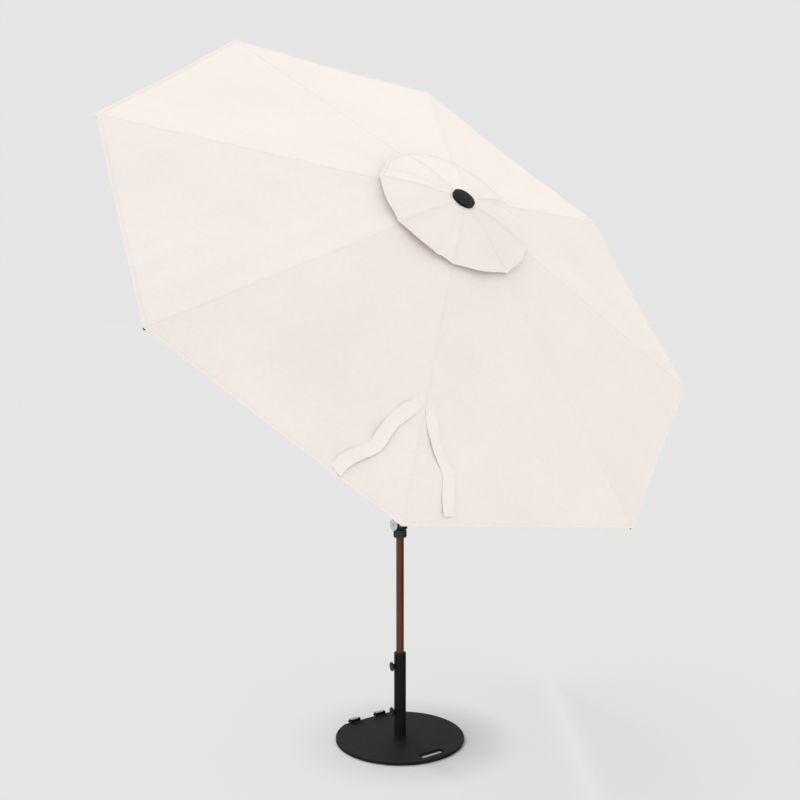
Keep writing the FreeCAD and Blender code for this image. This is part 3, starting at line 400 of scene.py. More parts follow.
# ---------------------------------------------------------------- canopy frame
@dataclass(frozen=True)
class CanopyPlan:
    """Sizes of the cloth cone, in metres, in the upright frame at the tilt pivot."""

    pivot_height: float
    tilt: float
    radius: float = 1.5635
    rise: float = 0.4229
    rim_height: float = 0.17225
    vent_radius: float = 0.215
    gores: int = 8
    first_rib: float = math.radians(12.73)
    sag: float = 0.007
    puckers: float = 0.0016

    @property
    def half_gore(self) -> float:
        """Angle from a rib to the middle of a gore."""
        return math.pi / self.gores

    @property
    def lean(self) -> Matrix:
        """Transform from the upright frame to the row frame."""
        return Matrix.Translation((0, 0, self.pivot_height)) @ Matrix.Rotation(
            self.tilt, 4, "X"
        )

    def height(self, radius: float) -> float:
        """Height of the cone over the pivot at a rib's radius."""
        return self.rim_height + self.rise * (1 - radius / self.radius)

    def rib_angle(self, number: int) -> float:
        """Direction of a rib about the upper pole, from 0."""
        return self.first_rib + 2 * math.pi * number / self.gores

    def flat(self, number: int, radius: float, off: float) -> Vector:
        """Point on the flat gores beside a rib.

        Args:
            number: the rib, from 0.
            radius: the radius that this point's ring has at the ribs.
            off: angle from the rib.

        Returns:
            The point in the upright frame.
        """
        half = self.half_gore
        reach = radius * math.cos(half) / math.cos(half - abs(off))
        angle = self.rib_angle(number) + off
        return Vector((reach * math.cos(angle), reach * math.sin(angle), self.height(radius)))

    def up(self, number: int, off: float) -> Vector:
        """Outward normal, rounded over the seam.

        Args:
            number: the rib.
            off: angle from the rib.

        Returns:
            The unit normal.
        """
        half = self.half_gore
        turn = half * max(-1.0, min(1.0, off / math.radians(0.6)))
        angle = self.rib_angle(number) + turn
        slope = self.rise / (self.radius * math.cos(half))
        return Vector((slope * math.cos(angle), slope * math.sin(angle), 1)).normalized()

    def drop(self, number: int, share: float, off: float) -> float:
        """How far the cloth lies below the flat gore: its sag and small puckers.

        Args:
            number: the rib.
            share: 0 at the vent, 1 at the rim.
            off: angle from the rib.

        Returns:
            The distance below the gore; it and its slope match at mid-gore.
        """
        t = min(1.0, abs(off) / self.half_gore)
        side = 1 if off > 0 else -1
        belly = self.sag * (0.25 + 0.75 * share) * (1 - math.cos(math.pi * t)) / 2
        gate = math.sin(math.pi * t) ** 2
        phase = 1.7 * number + 0.9 * side
        ripple = math.sin(9 * share + 2.1 * phase) * math.sin(5 * t + phase)
        ripple += 0.6 * math.sin(23 * share * t + phase)
        near_seam = math.exp(-((t / 0.06) ** 2))
        tug = 0.0006 * near_seam * math.sin(70 * share + phase) * min(1, t / 0.02)
        return belly + self.puckers * gate * ripple + tug

    def cloth(self, number: int, share: float, off: float, lift: float = 0.0) -> Vector:
        """Point on the hung cloth, in the row frame.

        Args:
            number: the rib.
            share: 0 at the vent's edge, 1 at the rim.
            off: angle from the rib.
            lift: distance above the cloth.

        Returns:
            The point.
        """
        radius = self.vent_radius + (self.radius - self.vent_radius) * share
        point = self.flat(number, radius, off)
        point += self.up(number, off) * (lift - self.drop(number, share, off))
        return self.lean @ point


def mesh_object(name: str, points: list, faces: list, material: bpy.types.Material,
                uvs: list | None = None) -> bpy.types.Object:
    """Make a smooth mesh object at the origin.

    Args:
        name: the piece's name.
        points: vertices in the row frame.
        faces: vertex indices.
        material: its finish.
        uvs: a (u, v) for each vertex, in metres.

    Returns:
        The object.
    """
    data = bpy.data.meshes.new(name)
    data.from_pydata([tuple(p) for p in points], [], faces)
    data.materials.append(material)
    data.polygons.foreach_set("use_smooth", [True] * len(data.polygons))
    if uvs is not None:
        layer = data.uv_layers.new(name="cloth")
        index = np.zeros(len(data.loops), np.int32)
        data.loops.foreach_get("vertex_index", index)
        layer.data.foreach_set("uv", np.array(uvs, np.float32)[index].ravel())
    data.update()
    piece = bpy.data.objects.new(name, data)
    bpy.context.scene.collection.objects.link(piece)
    return piece


def grid_faces(rows: int, columns: int, start: int = 0, flip: bool = False) -> list:
    """Quads of a grid of points laid row by row.

    Args:
        rows: number of rows of points.
        columns: points in each row.
        start: index of the first point.
        flip: turn the faces over.

    Returns:
        The faces.
    """
    faces = []
    for r in range(rows - 1):
        for c in range(columns - 1):
            a = start + r * columns + c
            quad = [a, a + 1, a + columns + 1, a + columns]
            faces.append(quad[::-1] if flip else quad)
    return faces


def closed_sheet(top: list, bottom: list, rows: int, columns: int) -> tuple[list, list]:
    """Join a top and a bottom grid into one closed thin body.

    Args:
        top: points of the upper side, row by row.
        bottom: points of the lower side.
        rows: rows of points.
        columns: points in a row.

    Returns:
        The points and the faces.
    """
    count = rows * columns
    faces = grid_faces(rows, columns) + grid_faces(rows, columns, count, True)
    edge = [c for c in range(columns)]
    edge += [r * columns + columns - 1 for r in range(1, rows)]
    edge += [(rows - 1) * columns + c for c in range(columns - 2, -1, -1)]
    edge += [r * columns for r in range(rows - 2, 0, -1)]
    for a, b in zip(edge, edge[1:] + edge[:1]):
        faces.append([b, a, a + count, b + count])
    return top + bottom, faces


def outward(piece: bpy.types.Object) -> bpy.types.Object:
    """Turn a closed mesh's faces outwards and mark sharp rims.

    Args:
        piece: the object.

    Returns:
        The same object.
    """
    mesh = bmesh.new()
    mesh.from_mesh(piece.data)
    bmesh.ops.recalc_face_normals(mesh, faces=mesh.faces)
    for edge in mesh.edges:
        if len(edge.link_faces) == 2 and edge.calc_face_angle() > math.radians(50):
            edge.smooth = False
    mesh.to_mesh(piece.data)
    mesh.free()
    return piece


# ---------------------------------------------------------------- stitching
@dataclass
class Stitching:
    """Rows of thread stitches laid along lines by a Geometry Nodes tree."""

    thread: bpy.types.Material
    pitch: float = 0.006
    length: float = 0.0042
    thickness: float = 0.00045
    tree: bpy.types.NodeTree = field(init=False)

    def __post_init__(self) -> None:
        """Build the tree once."""
        tree = bpy.data.node_groups.new("stitch_row", "GeometryNodeTree")
        face = tree.interface
        face.new_socket("Geometry", in_out="INPUT", socket_type="NodeSocketGeometry")
        for name in ("Pitch", "Stitch Length", "Stitch Radius"):
            face.new_socket(name, in_out="INPUT", socket_type="NodeSocketFloat")
        face.new_socket("Thread", in_out="INPUT", socket_type="NodeSocketMaterial")
        face.new_socket("Geometry", in_out="OUTPUT", socket_type="NodeSocketGeometry")
        new, link = tree.nodes.new, tree.links.new
        start, end = new("NodeGroupInput"), new("NodeGroupOutput")
        curve, spread = new("GeometryNodeMeshToCurve"), new("GeometryNodeResampleCurve")
        spread.mode = "LENGTH"
        points = new("GeometryNodeCurveToPoints")
        points.mode = "EVALUATED"
        stitch, place = new("GeometryNodeMeshCylinder"), new("GeometryNodeInstanceOnPoints")
        stitch.inputs["Vertices"].default_value = 5
        real, paint = new("GeometryNodeRealizeInstances"), new("GeometryNodeSetMaterial")
        link(start.outputs["Geometry"], curve.inputs["Mesh"])
        link(curve.outputs["Curve"], spread.inputs["Curve"])
        link(start.outputs["Pitch"], spread.inputs["Length"])
        link(spread.outputs["Curve"], points.inputs["Curve"])
        link(points.outputs["Points"], place.inputs["Points"])
        link(points.outputs["Rotation"], place.inputs["Rotation"])
        link(start.outputs["Stitch Radius"], stitch.inputs["Radius"])
        link(start.outputs["Stitch Length"], stitch.inputs["Depth"])
        link(stitch.outputs["Mesh"], place.inputs["Instance"])
        link(place.outputs["Instances"], real.inputs["Geometry"])
        link(real.outputs["Geometry"], paint.inputs["Geometry"])
        link(start.outputs["Thread"], paint.inputs["Material"])
        link(paint.outputs["Geometry"], end.inputs["Geometry"])
        self.tree = tree

    def sew(self, name: str, lines: list[list[Vector]]) -> bpy.types.Object:
        """Lay stitches along lines.

        Args:
            name: the piece's name.
            lines: lists of points in the row frame.

        Returns:
            One mesh of all the stitches.
        """
        points, edges = [], []
        for line in lines:
            first = len(points)
            points += [tuple(p) for p in line]
            edges += [(first + i, first + i + 1) for i in range(len(line) - 1)]
        data = bpy.data.meshes.new(name + "_lines")
        data.from_pydata(points, edges, [])
        guide = bpy.data.objects.new(name + "_guide", data)
        bpy.context.scene.collection.objects.link(guide)
        row = guide.modifiers.new("stitches", "NODES")
        row.node_group = self.tree
        sizes = {
            "Pitch": self.pitch, "Stitch Length": self.length,
            "Stitch Radius": self.thickness, "Thread": self.thread,
        }
        for socket in self.tree.interface.items_tree:
            if socket.in_out == "INPUT" and socket.name in sizes:
                row[socket.identifier] = sizes[socket.name]
        guide.update_tag()
        bpy.context.view_layer.update()
        ready = guide.evaluated_get(bpy.context.evaluated_depsgraph_get())
        mesh = bpy.data.meshes.new_from_object(ready)
        bpy.data.objects.remove(guide)
        piece = bpy.data.objects.new(name, mesh)
        mesh.name = name
        if not mesh.materials:
            mesh.materials.append(self.thread)
        bpy.context.scene.collection.objects.link(piece)
        return piece


# ---------------------------------------------------------------- canopy
@dataclass
class Canopy:
    """The main cloth: one wedge on each rib, meeting its neighbours at mid-gore."""

    plan: CanopyPlan
    finishes: Finishes
    stitching: Stitching
    fold_ratio: float
    thickness: float = 0.0008
    rows: int = 44
    columns: int = 60
    hem_width: float = 0.019
    seam_width: float = 0.013
    seam_lift: float = 0.0005

    def columns_at(self) -> list[float]:
        """Angles of the grid's lines, denser near the seam."""
        half = self.plan.half_gore
        side = self.columns // 2
        angles = [half * (i / side) ** 1.6 for i in range(side + 1)]
        return [-a for a in angles[:0:-1]] + angles

    def wedge(self, number: int) -> bpy.types.Object:
        """Cloth on one rib.

        Args:
            number: the rib, from 0.

        Returns:
            The piece.
        """
        plan, angles = self.plan, self.columns_at()
        top, bottom, uvs = [], [], []
        for r in range(self.rows + 1):
            share = r / self.rows
            radius = plan.vent_radius + (plan.radius - plan.vent_radius) * share
            for off in angles:
                top.append(plan.cloth(number, share, off))
                bottom.append(plan.cloth(number, share, off, -self.thickness))
                uvs.append((radius * math.tan(off), radius))
        points, faces = closed_sheet(top, bottom, self.rows + 1, len(angles))
        cloth = self.finishes.by_slot["cream_fabric"]
        return outward(mesh_object(f"canopy_cloth_{number + 1}", points, faces, cloth, uvs * 2))

    def band(self, number: int, across: Callable, steps: int, profile: list) -> tuple:
        """Raised strip of doubled cloth as points and faces.

        Args:
            number: the rib.
            across: gives (share, angle) for a place along and a place across.
            steps: places along.
            profile: (place across, lift) pairs.

        Returns:
            The points, the faces and the UVs.
        """
        top, uvs = [], []
        for i in range(steps + 1):
            for place, lift in profile:
                share, off = across(i / steps, place)
                top.append(self.plan.cloth(number, share, off, lift))
                uvs.append((place * 0.02, i / steps))
        low = []
        for i in range(steps + 1):
            for place, _ in profile:
                share, off = across(i / steps, place)
                low.append(self.plan.cloth(number, share, off, -self.thickness * 0.5))
        points, faces = closed_sheet(top, low, steps + 1, len(profile))
        return points, faces, uvs * 2

    def trim(self, number: int) -> bpy.types.Object:
        """Seam and hem of one wedge, joined into one piece.

        Args:
            number: the rib.

        Returns:
            The piece.
        """
        plan = self.plan
        depth = plan.radius - plan.vent_radius
        lift = self.seam_lift
        crown = [(-1, 0.0), (-0.85, lift), (-0.4, lift * 1.3), (0, lift * 2.0),
                 (0.4, lift * 1.3), (0.85, lift), (1, 0.0)]

        def seam(along: float, place: float) -> tuple[float, float]:
            """Place on the felled seam."""
            radius = plan.vent_radius + depth * along
            return along, place * self.seam_width / 2 / radius

        def hem(along: float, place: float) -> tuple[float, float]:
            """Place on the rim's hem."""
            inset = self.hem_width * (0.5 - place / 2) / depth
            return 1 - inset, (2 * along - 1) * plan.half_gore

        rolled = [(-1, 0.0), (-0.93, lift), (0.6, lift), (0.85, lift * 2), (1, lift)]
        points, faces, uvs = [], [], []
        for across, steps, profile in ((seam, 90, crown), (hem, 96, rolled)):
            some, quads, places = self.band(number, across, steps, profile)
            faces += [[i + len(points) for i in quad] for quad in quads]
            points += some
            uvs += places
        cloth = self.finishes.by_slot["cream_fabric"]
        return outward(mesh_object(f"canopy_trim_{number + 1}", points, faces, cloth, uvs))

    def stitches(self, number: int) -> bpy.types.Object:
        """Thread on the seam's two sides and the hem.

        Args:
            number: the rib.

        Returns:
            The piece.
        """
        plan = self.plan
        depth = plan.radius - plan.vent_radius
        high = self.seam_lift * 1.2
        lines = []
        for side in (-1, 1):
            line = []
            for i in range(61):
                share = 0.004 + 0.99 * i / 60
                radius = plan.vent_radius + depth * share
                line.append(plan.cloth(number, share, side * 0.0045 / radius, high * 1.2))
            lines.append(line)
        inset = 1 - self.hem_width * 0.9 / depth
        half = plan.half_gore
        lines.append([plan.cloth(number, inset, half * (i / 48 - 1), high) for i in range(97)])
        return self.stitching.sew(f"canopy_stitches_{number + 1}", lines)

    def flat_area(self) -> float:
        """Flat area of one wedge's cut."""
        plan = self.plan
        chord = 2 * math.sin(plan.half_gore) * (plan.radius + plan.vent_radius) / 2
        run = (plan.radius - plan.vent_radius) * math.cos(plan.half_gore)
        slant = math.hypot(run, plan.height(plan.vent_radius) - plan.rim_height)
        return chord * slant

    def build(self) -> None:
        """Make and place all eight wedges on their ribs, hiding the CAD panels that they stand for."""
        plan = self.plan
        for number in range(plan.gores):
            wedge, trim = self.wedge(number), self.trim(number)
            thread = self.stitches(number)
            angle = plan.rib_angle(number)
            side = Vector((-math.sin(angle), math.cos(angle), 0))
            side = plan.lean.to_3x3() @ side
            anchor = plan.lean @ Vector((0, 0, plan.height(0)))
            for piece in (wedge, trim, thread):
                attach(piece, f"rib_{number + 1}")
                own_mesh(piece)
            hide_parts(f"canopy_panel_{number + 1}")
            self.flat_area()
            LOG.info("wedge %d: %d faces", number + 1, len(wedge.data.polygons))


# ---------------------------------------------------------------- vent cap
@dataclass
class VentCap:
    """The small raised canopy over the vent, its free edge lifted and billowed."""

    plan: CanopyPlan
    finishes: Finishes
    stitching: Stitching
    centre_height: float
    radius: float = 0.383
    edge_lift: float = 0.022
    clamp_radius: float = 0.050
    thickness: float = 0.0008
    bulge: float = 0.018
    ridge: float = 0.0045
    creases: tuple = (
        ((0.060, 0.030), (0.136, 0.022), (0.291, 0.031), (0.368, -0.011)),
        ((0.041, -0.126), (0.065, -0.201), (0.057, -0.283)),
        ((-0.060, -0.085), (-0.150, -0.190), (-0.262, -0.262)),
        ((-0.075, 0.075), (-0.165, 0.172), (-0.270, 0.245)),
        ((0.055, 0.105), (0.082, 0.205), (0.078, 0.330)),
    )
    rows: int = 34
    around: int = 256

    def distance(self, spot: Vector, start: tuple, end: tuple) -> float:
        """Distance from a spot to a crease's straight stretch.

        Args:
            spot: place about the pole.
            start: one end of the stretch.
            end: the other end.

        Returns:
            The distance in metres.
        """
        first, run = Vector(start), Vector(end) - Vector(start)
        t = max(0.0, min(1.0, (spot - first).dot(run) / run.length_squared))
        return (spot - first - run * t).length

    def point(self, share: float, angle: float, lift: float = 0.0) -> Vector:
        """Point on the cap, in the row frame.

        Args:
            share: 0 at the clamp, 1 at the free edge.
            angle: direction about the pole.
            lift: distance above the cloth.

        Returns:
            The point.
        """
        plan, half = self.plan, self.plan.half_gore
        turn = (angle - plan.first_rib) % (2 * half)
        off = min(turn, 2 * half - turn)
        middle = math.sin(math.pi * off / (2 * half)) ** 2
        side = self.radius * math.cos(half) / math.cos(half - off)
        side += self.bulge * middle
        reach = self.clamp_radius + (side - self.clamp_radius) * share
        edge = plan.height(self.radius) + self.edge_lift
        height = self.centre_height + (edge - self.centre_height) * share
        height += 0.006 * math.sin(math.pi * share) ** 2 + 0.004 * middle * share**2
        wander = 0.010 * math.sin(4.2 * share + 2.0 * angle)
        gap = (reach * math.sin(off) + wander * math.sin(math.pi * share)) / 0.013
        height += self.ridge * math.exp(-gap * gap) * math.sin(math.pi * min(1, share * 1.1)) ** 1.0
        spot = Vector((reach * math.cos(angle), reach * math.sin(angle)))
        for crease in self.creases:
            near = min(self.distance(spot, a, b) for a, b in zip(crease, crease[1:]))
            height -= 0.0050 * math.exp(-((near / 0.016) ** 2))
        height += 0.0010 * math.sin(5 * angle + 9 * share) * share
        return plan.lean @ Vector((reach * math.cos(angle), reach * math.sin(angle), height + lift))

    def sheet_piece(self) -> bpy.types.Object:
        """The cap's cloth.

        Returns:
            The piece.
        """
        top, bottom, uvs = [], [], []
        columns = self.around + 1
        for r in range(self.rows + 1):
            share = r / self.rows
            for c in range(columns):
                angle = self.plan.first_rib + 2 * math.pi * c / self.around
                top.append(self.point(share, angle))
                bottom.append(self.point(share, angle, -self.thickness))
                reach = self.radius * (0.1 + share)
                uvs.append((reach * math.cos(angle), reach * math.sin(angle)))
        points, faces = closed_sheet(top, bottom, self.rows + 1, columns)
        cloth = self.finishes.by_slot["cream_fabric"]
        piece = mesh_object("vent_cap_cloth", points, faces, cloth, uvs * 2)
        mesh = bmesh.new()
        mesh.from_mesh(piece.data)
        bmesh.ops.remove_doubles(mesh, verts=mesh.verts, dist=1e-6)
        inner = [f for f in mesh.faces if len({v.index for v in f.verts}) < 3]
        bmesh.ops.delete(mesh, geom=inner, context="FACES")
        seen: dict[frozenset, bmesh.types.BMFace] = {}
        twins = []
        for f in mesh.faces:
            key = frozenset(v.index for v in f.verts)
            if key in seen:
                twins += [f, seen[key]]
            seen[key] = f
        bmesh.ops.delete(mesh, geom=list(set(twins)), context="FACES")
        mesh.to_mesh(piece.data)
        mesh.free()
        return outward(piece)

    def trim(self) -> bpy.types.Object:
        """Seams on the ribs' lines and the hem round the free edge.

        Returns:
            The piece.
        """
        points, faces, uvs = [], [], []

        def add(top: list, low: list, rows: int, columns: int) -> None:
            """Add one closed strip."""
            some, quads = closed_sheet(top, low, rows, columns)
            faces.extend([[i + len(points) for i in quad] for quad in quads])
            points.extend(some)
            uvs.extend([(i % columns * 0.005, i // columns * 0.01) for i in range(len(some))])

        width = 0.011
        profile = [(-1, 0.0), (-0.8, 0.0007), (0, 0.0016), (0.8, 0.0007), (1, 0.0)]
        for number in range(self.plan.gores):
            angle = self.plan.rib_angle(number)
            top, low = [], []
            for i in range(37):
                share = i / 36
                reach = self.clamp_radius + (self.radius - self.clamp_radius) * share
                for place, lift in profile:
                    turn = angle + place * width / 2 / reach
                    top.append(self.point(share, turn, lift))
                    low.append(self.point(share, turn, -0.0004))
            add(top, low, 37, len(profile))
        hem = [(0.955, 0.0), (0.958, 0.0007), (0.99, 0.0007), (0.998, 0.0013), (1.001, 0.0004)]
        top, low = [], []
        for c in range(self.around + 1):
            angle = self.plan.first_rib + 2 * math.pi * c / self.around
            for share, lift in hem:
                top.append(self.point(share, angle, lift))
                low.append(self.point(share, angle, -0.0004))
        add(top, low, self.around + 1, len(hem))
        cloth = self.finishes.by_slot["cream_fabric"]
        return outward(mesh_object("vent_cap_trim", points, faces, cloth, uvs))

    def build(self) -> None:
        cap, trim = self.sheet_piece(), self.trim()
        rim = [self.point(0.962, self.plan.first_rib + 2 * math.pi * c / 256, 0.001)
               for c in range(257)]
        lines = [rim]
        for number in range(self.plan.gores):
            for side in (-1, 1):
                line = []
                for i in range(25):
                    share = 0.05 + 0.9 * i / 24
                    turn = side * 0.004 / (self.radius * (0.15 + 0.85 * share))
                    line.append(self.point(share, self.plan.rib_angle(number) + turn, 0.0013))
                lines.append(line)
        thread = self.stitching.sew("vent_cap_stitches", lines)
        for piece in (cap, trim, thread):
            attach(piece, "upper")
        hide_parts("vent_cap")
        fall = self.centre_height - self.plan.height(self.radius) - self.edge_lift
        LOG.info("vent cap: %d faces", len(cap.data.polygons))


# ---------------------------------------------------------------- tie straps
@dataclass
class TieStrap:
    """One webbing strap sewn to the seam, lying loose on the gore below it."""

    plan: CanopyPlan
    finishes: Finishes
    stitching: Stitching
    name: str
    rib: int
    left: tuple
    right: tuple
    waves: float
    wave_height: float
    thickness: float = 0.0013
    steps: int = 90
    across: int = 10
    rails: list = field(init=False)
    length: float = field(init=False)
    width: float = 0.057

    def __post_init__(self) -> None:
        """Smooth both edges and measure the middle line."""
        self.rails = [self.smoothed(self.left), self.smoothed(self.right)]
        middle = (self.rails[0] + self.rails[1]) / 2
        self.length = float(np.linalg.norm(np.diff(middle, axis=0), axis=1).sum())

    def smoothed(self, corners: tuple) -> np.ndarray:
        """Curve through an edge's points, evenly spaced.

        Args:
            corners: (out, side) points in metres.

        Returns:
            steps + 1 points.
        """
        path = np.array((corners[0],) + tuple(corners) + (corners[-1],))
        dense = []
        for i in range(len(path) - 3):
            a, b, c, d = path[i:i + 4]
            for t in np.linspace(0, 1, 24, endpoint=False):
                dense.append(0.5 * (2 * b + (c - a) * t + (2 * a - 5 * b + 4 * c - d) * t**2
                                    + (3 * b - a - 3 * c + d) * t**3))
        dense = np.array(dense + [path[-1]])
        far = np.concatenate([[0], np.cumsum(np.linalg.norm(np.diff(dense, axis=0), axis=1))])
        even = np.linspace(0, far[-1], self.steps + 1)
        return np.column_stack([np.interp(even, far, dense[:, k]) for k in (0, 1)])

    def on_cloth(self, out: float, side: float, lift: float) -> Vector:
        """Point over the cloth.

        Args:
            out: distance from the pole's axis along the rib's direction.
            side: distance to the rib's side.
            lift: height above the cloth.

        Returns:
            The point in the row frame.
        """
        plan, half = self.plan, self.plan.half_gore
        off = math.atan2(side, out)
        reach = math.hypot(out, side)
        radius = reach * math.cos(half - abs(off)) / math.cos(half)
        share = (radius - plan.vent_radius) / (plan.radius - plan.vent_radius)
        return plan.cloth(self.rib, share, off, lift)

    def ribbon(self, t: float, place: float, lift: float) -> Vector:
        """Point on the strap.

        Args:
            t: 0 to 1 along it.
            place: -1 to 1 across it.
            lift: height over its underside.

        Returns:
            The point in the row frame.
        """
        index = max(0.0, min(1.0, t)) * self.steps
        low = min(int(index), self.steps - 1)
        spots = [rail[low] + (rail[low + 1] - rail[low]) * (index - low) for rail in self.rails]
        out, side = spots[0] + (spots[1] - spots[0]) * (place + 1) / 2
        free = min(1.0, max(0.0, (t - 0.10) / 0.2))
        lie = self.wave_height * free * (0.5 - 0.5 * math.cos(2 * math.pi * self.waves * t))
        tilt = 0.35 * self.wave_height * free * place * math.sin(2 * math.pi * self.waves * t + 1)
        curl = 0.0004 * place * place * free
        return self.on_cloth(out, side, 0.0006 + abs(tilt) + tilt + lie + curl + lift)

    def build(self, replaced: list[str]) -> bpy.types.Object:
        """Args:
            replaced: CAD nodes that it stands for.

        Returns:
            The strap.
        """
        columns = self.across + 1
        top, bottom, uvs = [], [], []
        for i in range(self.steps + 1):
            for c in range(columns):
                place = 2 * c / self.across - 1
                edge = 0.0004 if abs(place) == 1 else 0.0
                top.append(self.ribbon(i / self.steps, place, self.thickness - edge))
                bottom.append(self.ribbon(i / self.steps, place, edge))
                uvs.append((place * self.width / 2, i / self.steps * self.length))
        points, faces = closed_sheet(top, bottom, self.steps + 1, columns)
        webbing = self.finishes.by_slot["strap_webbing"]
        strap = outward(mesh_object(self.name, points, faces, webbing, uvs * 2))
        high = self.thickness + 0.0003
        square = [(0.012, -0.85), (0.012, 0.85), (0.085, 0.85), (0.085, -0.85), (0.012, -0.85)]
        cross = [(0.012, -0.85), (0.085, 0.85)]
        back = [(0.012, 0.85), (0.085, -0.85)]
        fold = [(0.965, -0.9), (0.965, 0.9)]
        lines = []
        for corners in (square, cross, back, fold):
            line = []
            for (t0, p0), (t1, p1) in zip(corners, corners[1:]):
                line += [self.ribbon(t0 + (t1 - t0) * k / 8, p0 + (p1 - p0) * k / 8, high)
                         for k in range(9)]
            lines.append(line)
        thread = self.stitching.sew(self.name + "_stitches", lines)
        for piece in (strap, thread):
            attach(piece, f"rib_{self.rib + 1}")
        if replaced:
            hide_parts(*replaced)
        LOG.info("%s: %.3f m long", self.name, self.length)
        return strap


# ---------------------------------------------------------------- studio
@dataclass
class Studio:
    """Floor, light and camera."""

    camera_place: tuple[float, float, float] = (-3.4124, -4.0838, 2.2322)
    pitch: float = -5.81
    heading: float = -39.88
    lens: float = 50.0
    sensor: float = 36.0
    background: tuple = linear(229, 229, 229)
    ambient: float = 1.03
    key: float = 0.45
    side: float = 16.0
    bounce: float = 1.0
    fade: float = 0.8
    ground: tuple = (0.71, 0.71, 0.71, 1.0)

    def floor(self) -> None:
        """Pale floor that keeps the object's shadow and fades into the backdrop."""
        size = 60.0
        corners = [(-size, -size, 0), (size, -size, 0), (size, size, 0), (-size, size, 0)]
        surface = Surface("studio_floor")
        surface.set(Roughness=0.9, Base_Color=self.ground, Specular_IOR_Level=0.0)
        distance = surface.nodes.new("ShaderNodeVectorMath")
        distance.operation = "LENGTH"
        surface.links.new(surface.place, distance.inputs[0])
        fade = surface.nodes.new("ShaderNodeMapRange")
        fade.interpolation_type = "SMOOTHSTEP"
        fade.inputs["From Min"].default_value = 0.33
        fade.inputs["From Max"].default_value = 0.62
        fade.inputs["To Max"].default_value = self.fade
        surface.links.new(distance.outputs["Value"], fade.inputs["Value"])
        glow = surface.nodes.new("ShaderNodeEmission")
        glow.inputs["Color"].default_value = self.background
        mix = surface.nodes.new("ShaderNodeMixShader")
        surface.links.new(fade.outputs["Result"], mix.inputs["Fac"])
        surface.links.new(surface.shader.outputs[0], mix.inputs[1])
        surface.links.new(glow.outputs[0], mix.inputs[2])
        end = surface.nodes["Material Output"]
        rays, lit = surface.nodes.new("ShaderNodeLightPath"), surface.nodes.new("ShaderNodeMixShader")
        reflected = surface.nodes.new("ShaderNodeEmission")
        reflected.inputs["Color"].default_value = (self.bounce,) * 3 + (1.0,)
        surface.links.new(rays.outputs["Is Diffuse Ray"], lit.inputs["Fac"])
        surface.links.new(mix.outputs[0], lit.inputs[1])
        surface.links.new(reflected.outputs[0], lit.inputs[2])
        surface.links.new(lit.outputs[0], end.inputs["Surface"])
        floor = mesh_object("studio_floor", corners, [[0, 1, 2, 3]], surface.material)
        floor.location.z = -0.0002

    def world(self) -> None:
        """Even sky for light, the backdrop's grey for what sees it."""
        world = bpy.data.worlds.new("studio")
        bpy.context.scene.world = world
        world.use_nodes = True
        nodes, links = world.node_tree.nodes, world.node_tree.links
        sky, seen = nodes["Background"], nodes.new("ShaderNodeBackground")
        sky.inputs["Strength"].default_value = self.ambient
        sky.inputs["Color"].default_value = (1.0, 0.995, 0.985, 1.0)
        seen.inputs["Color"].default_value = self.background
        rays, mix = nodes.new("ShaderNodeLightPath"), nodes.new("ShaderNodeMixShader")
        pair, either = nodes.new("ShaderNodeMath"), nodes.new("ShaderNodeMath")
        pair.operation = either.operation = "MAXIMUM"
        links.new(rays.outputs["Is Camera Ray"], pair.inputs[0])
        links.new(rays.outputs["Is Transmission Ray"], pair.inputs[1])
        links.new(pair.outputs[0], either.inputs[0])
        links.new(rays.outputs["Is Glossy Ray"], either.inputs[1])
        links.new(either.outputs[0], mix.inputs["Fac"])
        links.new(sky.outputs[0], mix.inputs[1])
        links.new(seen.outputs[0], mix.inputs[2])
        links.new(mix.outputs[0], nodes["World Output"].inputs["Surface"])

    def lamps(self) -> None:
        """One soft sun from behind and a tall soft box on the camera's left."""
        sun = bpy.data.lights.new("key", "SUN")
        sun.energy = self.key
        sun.angle = math.radians(9)
        lamp = bpy.data.objects.new("key", sun)
        towards = Vector((0.10, 0.63, 0.77)).normalized()
        lamp.rotation_euler = towards.to_track_quat("Z", "Y").to_euler()
        bpy.context.scene.collection.objects.link(lamp)
        soft = bpy.data.lights.new("soft_box", "AREA")
        soft.shape, soft.size, soft.size_y = "RECTANGLE", 1.2, 3.2
        soft.energy = self.side
        box = bpy.data.objects.new("soft_box", soft)
        box.location = (-4.6, 0.9, 1.8)
        box.rotation_euler = Vector((-4.6, 0.9, 0.8)).to_track_quat("Z", "Y").to_euler()
        bpy.context.scene.collection.objects.link(box)

    def flag(self) -> None:
        """Black card on the camera's right that darkens the posts' right sides."""
        right, out = Vector((0.641, 0.767, 0)), Vector((0.767, -0.641, 0))
        centre = out * 0.85
        corners = [centre + right * side + Vector((0, 0, z))
                   for side, z in ((-0.8, 0.10), (0.8, 0.10), (0.8, 1.20), (-0.8, 1.20))]
        surface = Surface("studio_flag")
        surface.set(Base_Color=(0.0, 0.0, 0.0, 1.0), Roughness=1.0, Specular_IOR_Level=0.0)
        card = mesh_object("studio_flag", corners, [[0, 1, 2, 3]], surface.material)
        card.visible_camera = False

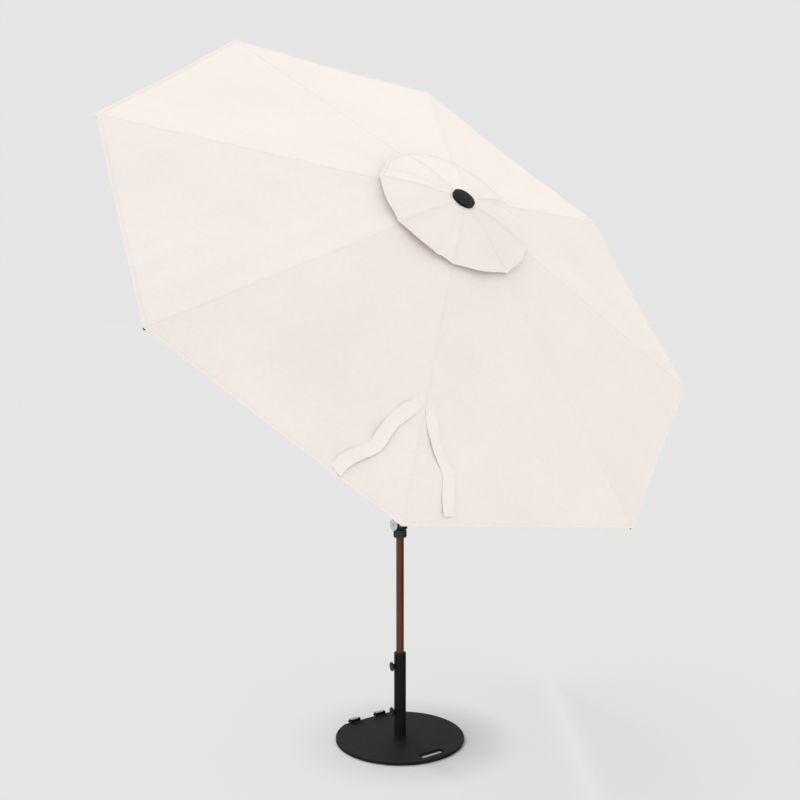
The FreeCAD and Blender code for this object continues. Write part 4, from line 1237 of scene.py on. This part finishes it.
    def camera(self) -> None:
        """Camera at the viewing angle."""
        data = bpy.data.cameras.new("camera")
        data.lens, data.sensor_width, data.sensor_fit = self.lens, self.sensor, "HORIZONTAL"
        camera = bpy.data.objects.new("camera", data)
        camera.location = self.camera_place
        camera.rotation_euler = (math.radians(90 + self.pitch), 0, math.radians(self.heading))
        bpy.context.scene.collection.objects.link(camera)
        bpy.context.scene.camera = camera

    def build(self) -> None:
        """Set up the studio."""
        self.camera()
        self.floor()
        self.world()
        self.lamps()
        self.flag()
        bpy.context.scene.view_settings.view_transform = "Standard"


# ---------------------------------------------------------------- assembly
def joint_named(frame: dict, name: str) -> dict:
    """The record's joint of that name."""
    return next(j for j in frame["joints"] if j["name"] == name)


def main() -> None:
    """Build the umbrella's looks round the frame."""
    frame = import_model()
    finishes = Finishes()
    finishes.dress_cad(frame)
    tilt = joint_named(frame, "canopy_tilt")
    plan = CanopyPlan(tilt["pos_m"][2], -math.radians(tilt["range_deg"][0]))
    stitching = Stitching(finishes.by_slot["thread"])
    Studio().build()
    fold = math.radians(joint_named(frame, "rib_1_fold")["range_deg"][1])
    slope = math.atan(plan.rise / plan.radius)
    keep = math.cos(slope + fold) / math.cos(slope) * 1.001
    Canopy(plan, finishes, stitching, keep).build()
    VentCap(plan, finishes, stitching, centre_height=0.5845).build()
    TieStrap(
        plan, finishes, stitching, "tie_strap_left", 5,
        left=((0.9994, -0.0005), (1.0609, -0.0713), (1.1295, -0.1262), (1.2188, -0.1671),
              (1.274, -0.1889), (1.335, -0.2575), (1.3709, -0.29), (1.4067, -0.31)),
        right=((1.0645, -0.0019), (1.1376, -0.057), (1.1954, -0.0967), (1.27, -0.1238),
               (1.3125, -0.1483), (1.3665, -0.2105), (1.4073, -0.2461), (1.4466, -0.2655)),
        waves=3.0, wave_height=0.008,
    ).build(["tie_straps"])
    TieStrap(
        plan, finishes, stitching, "tie_strap_right", 5,
        left=((1.0644, 0.0012), (1.1449, 0.0287), (1.2237, 0.0687), (1.2854, 0.1244),
              (1.3232, 0.1366), (1.4027, 0.1496), (1.457, 0.1648)),
        right=((1.000, 0.0050), (1.0529, 0.0496), (1.1223, 0.0756), (1.1826, 0.0996),
               (1.2329, 0.1436), (1.263, 0.1738), (1.3399, 0.1956), (1.437, 0.2065)),
        waves=1.5, wave_height=0.004,
    ).build([])


if __name__ == "__main__":
    main()
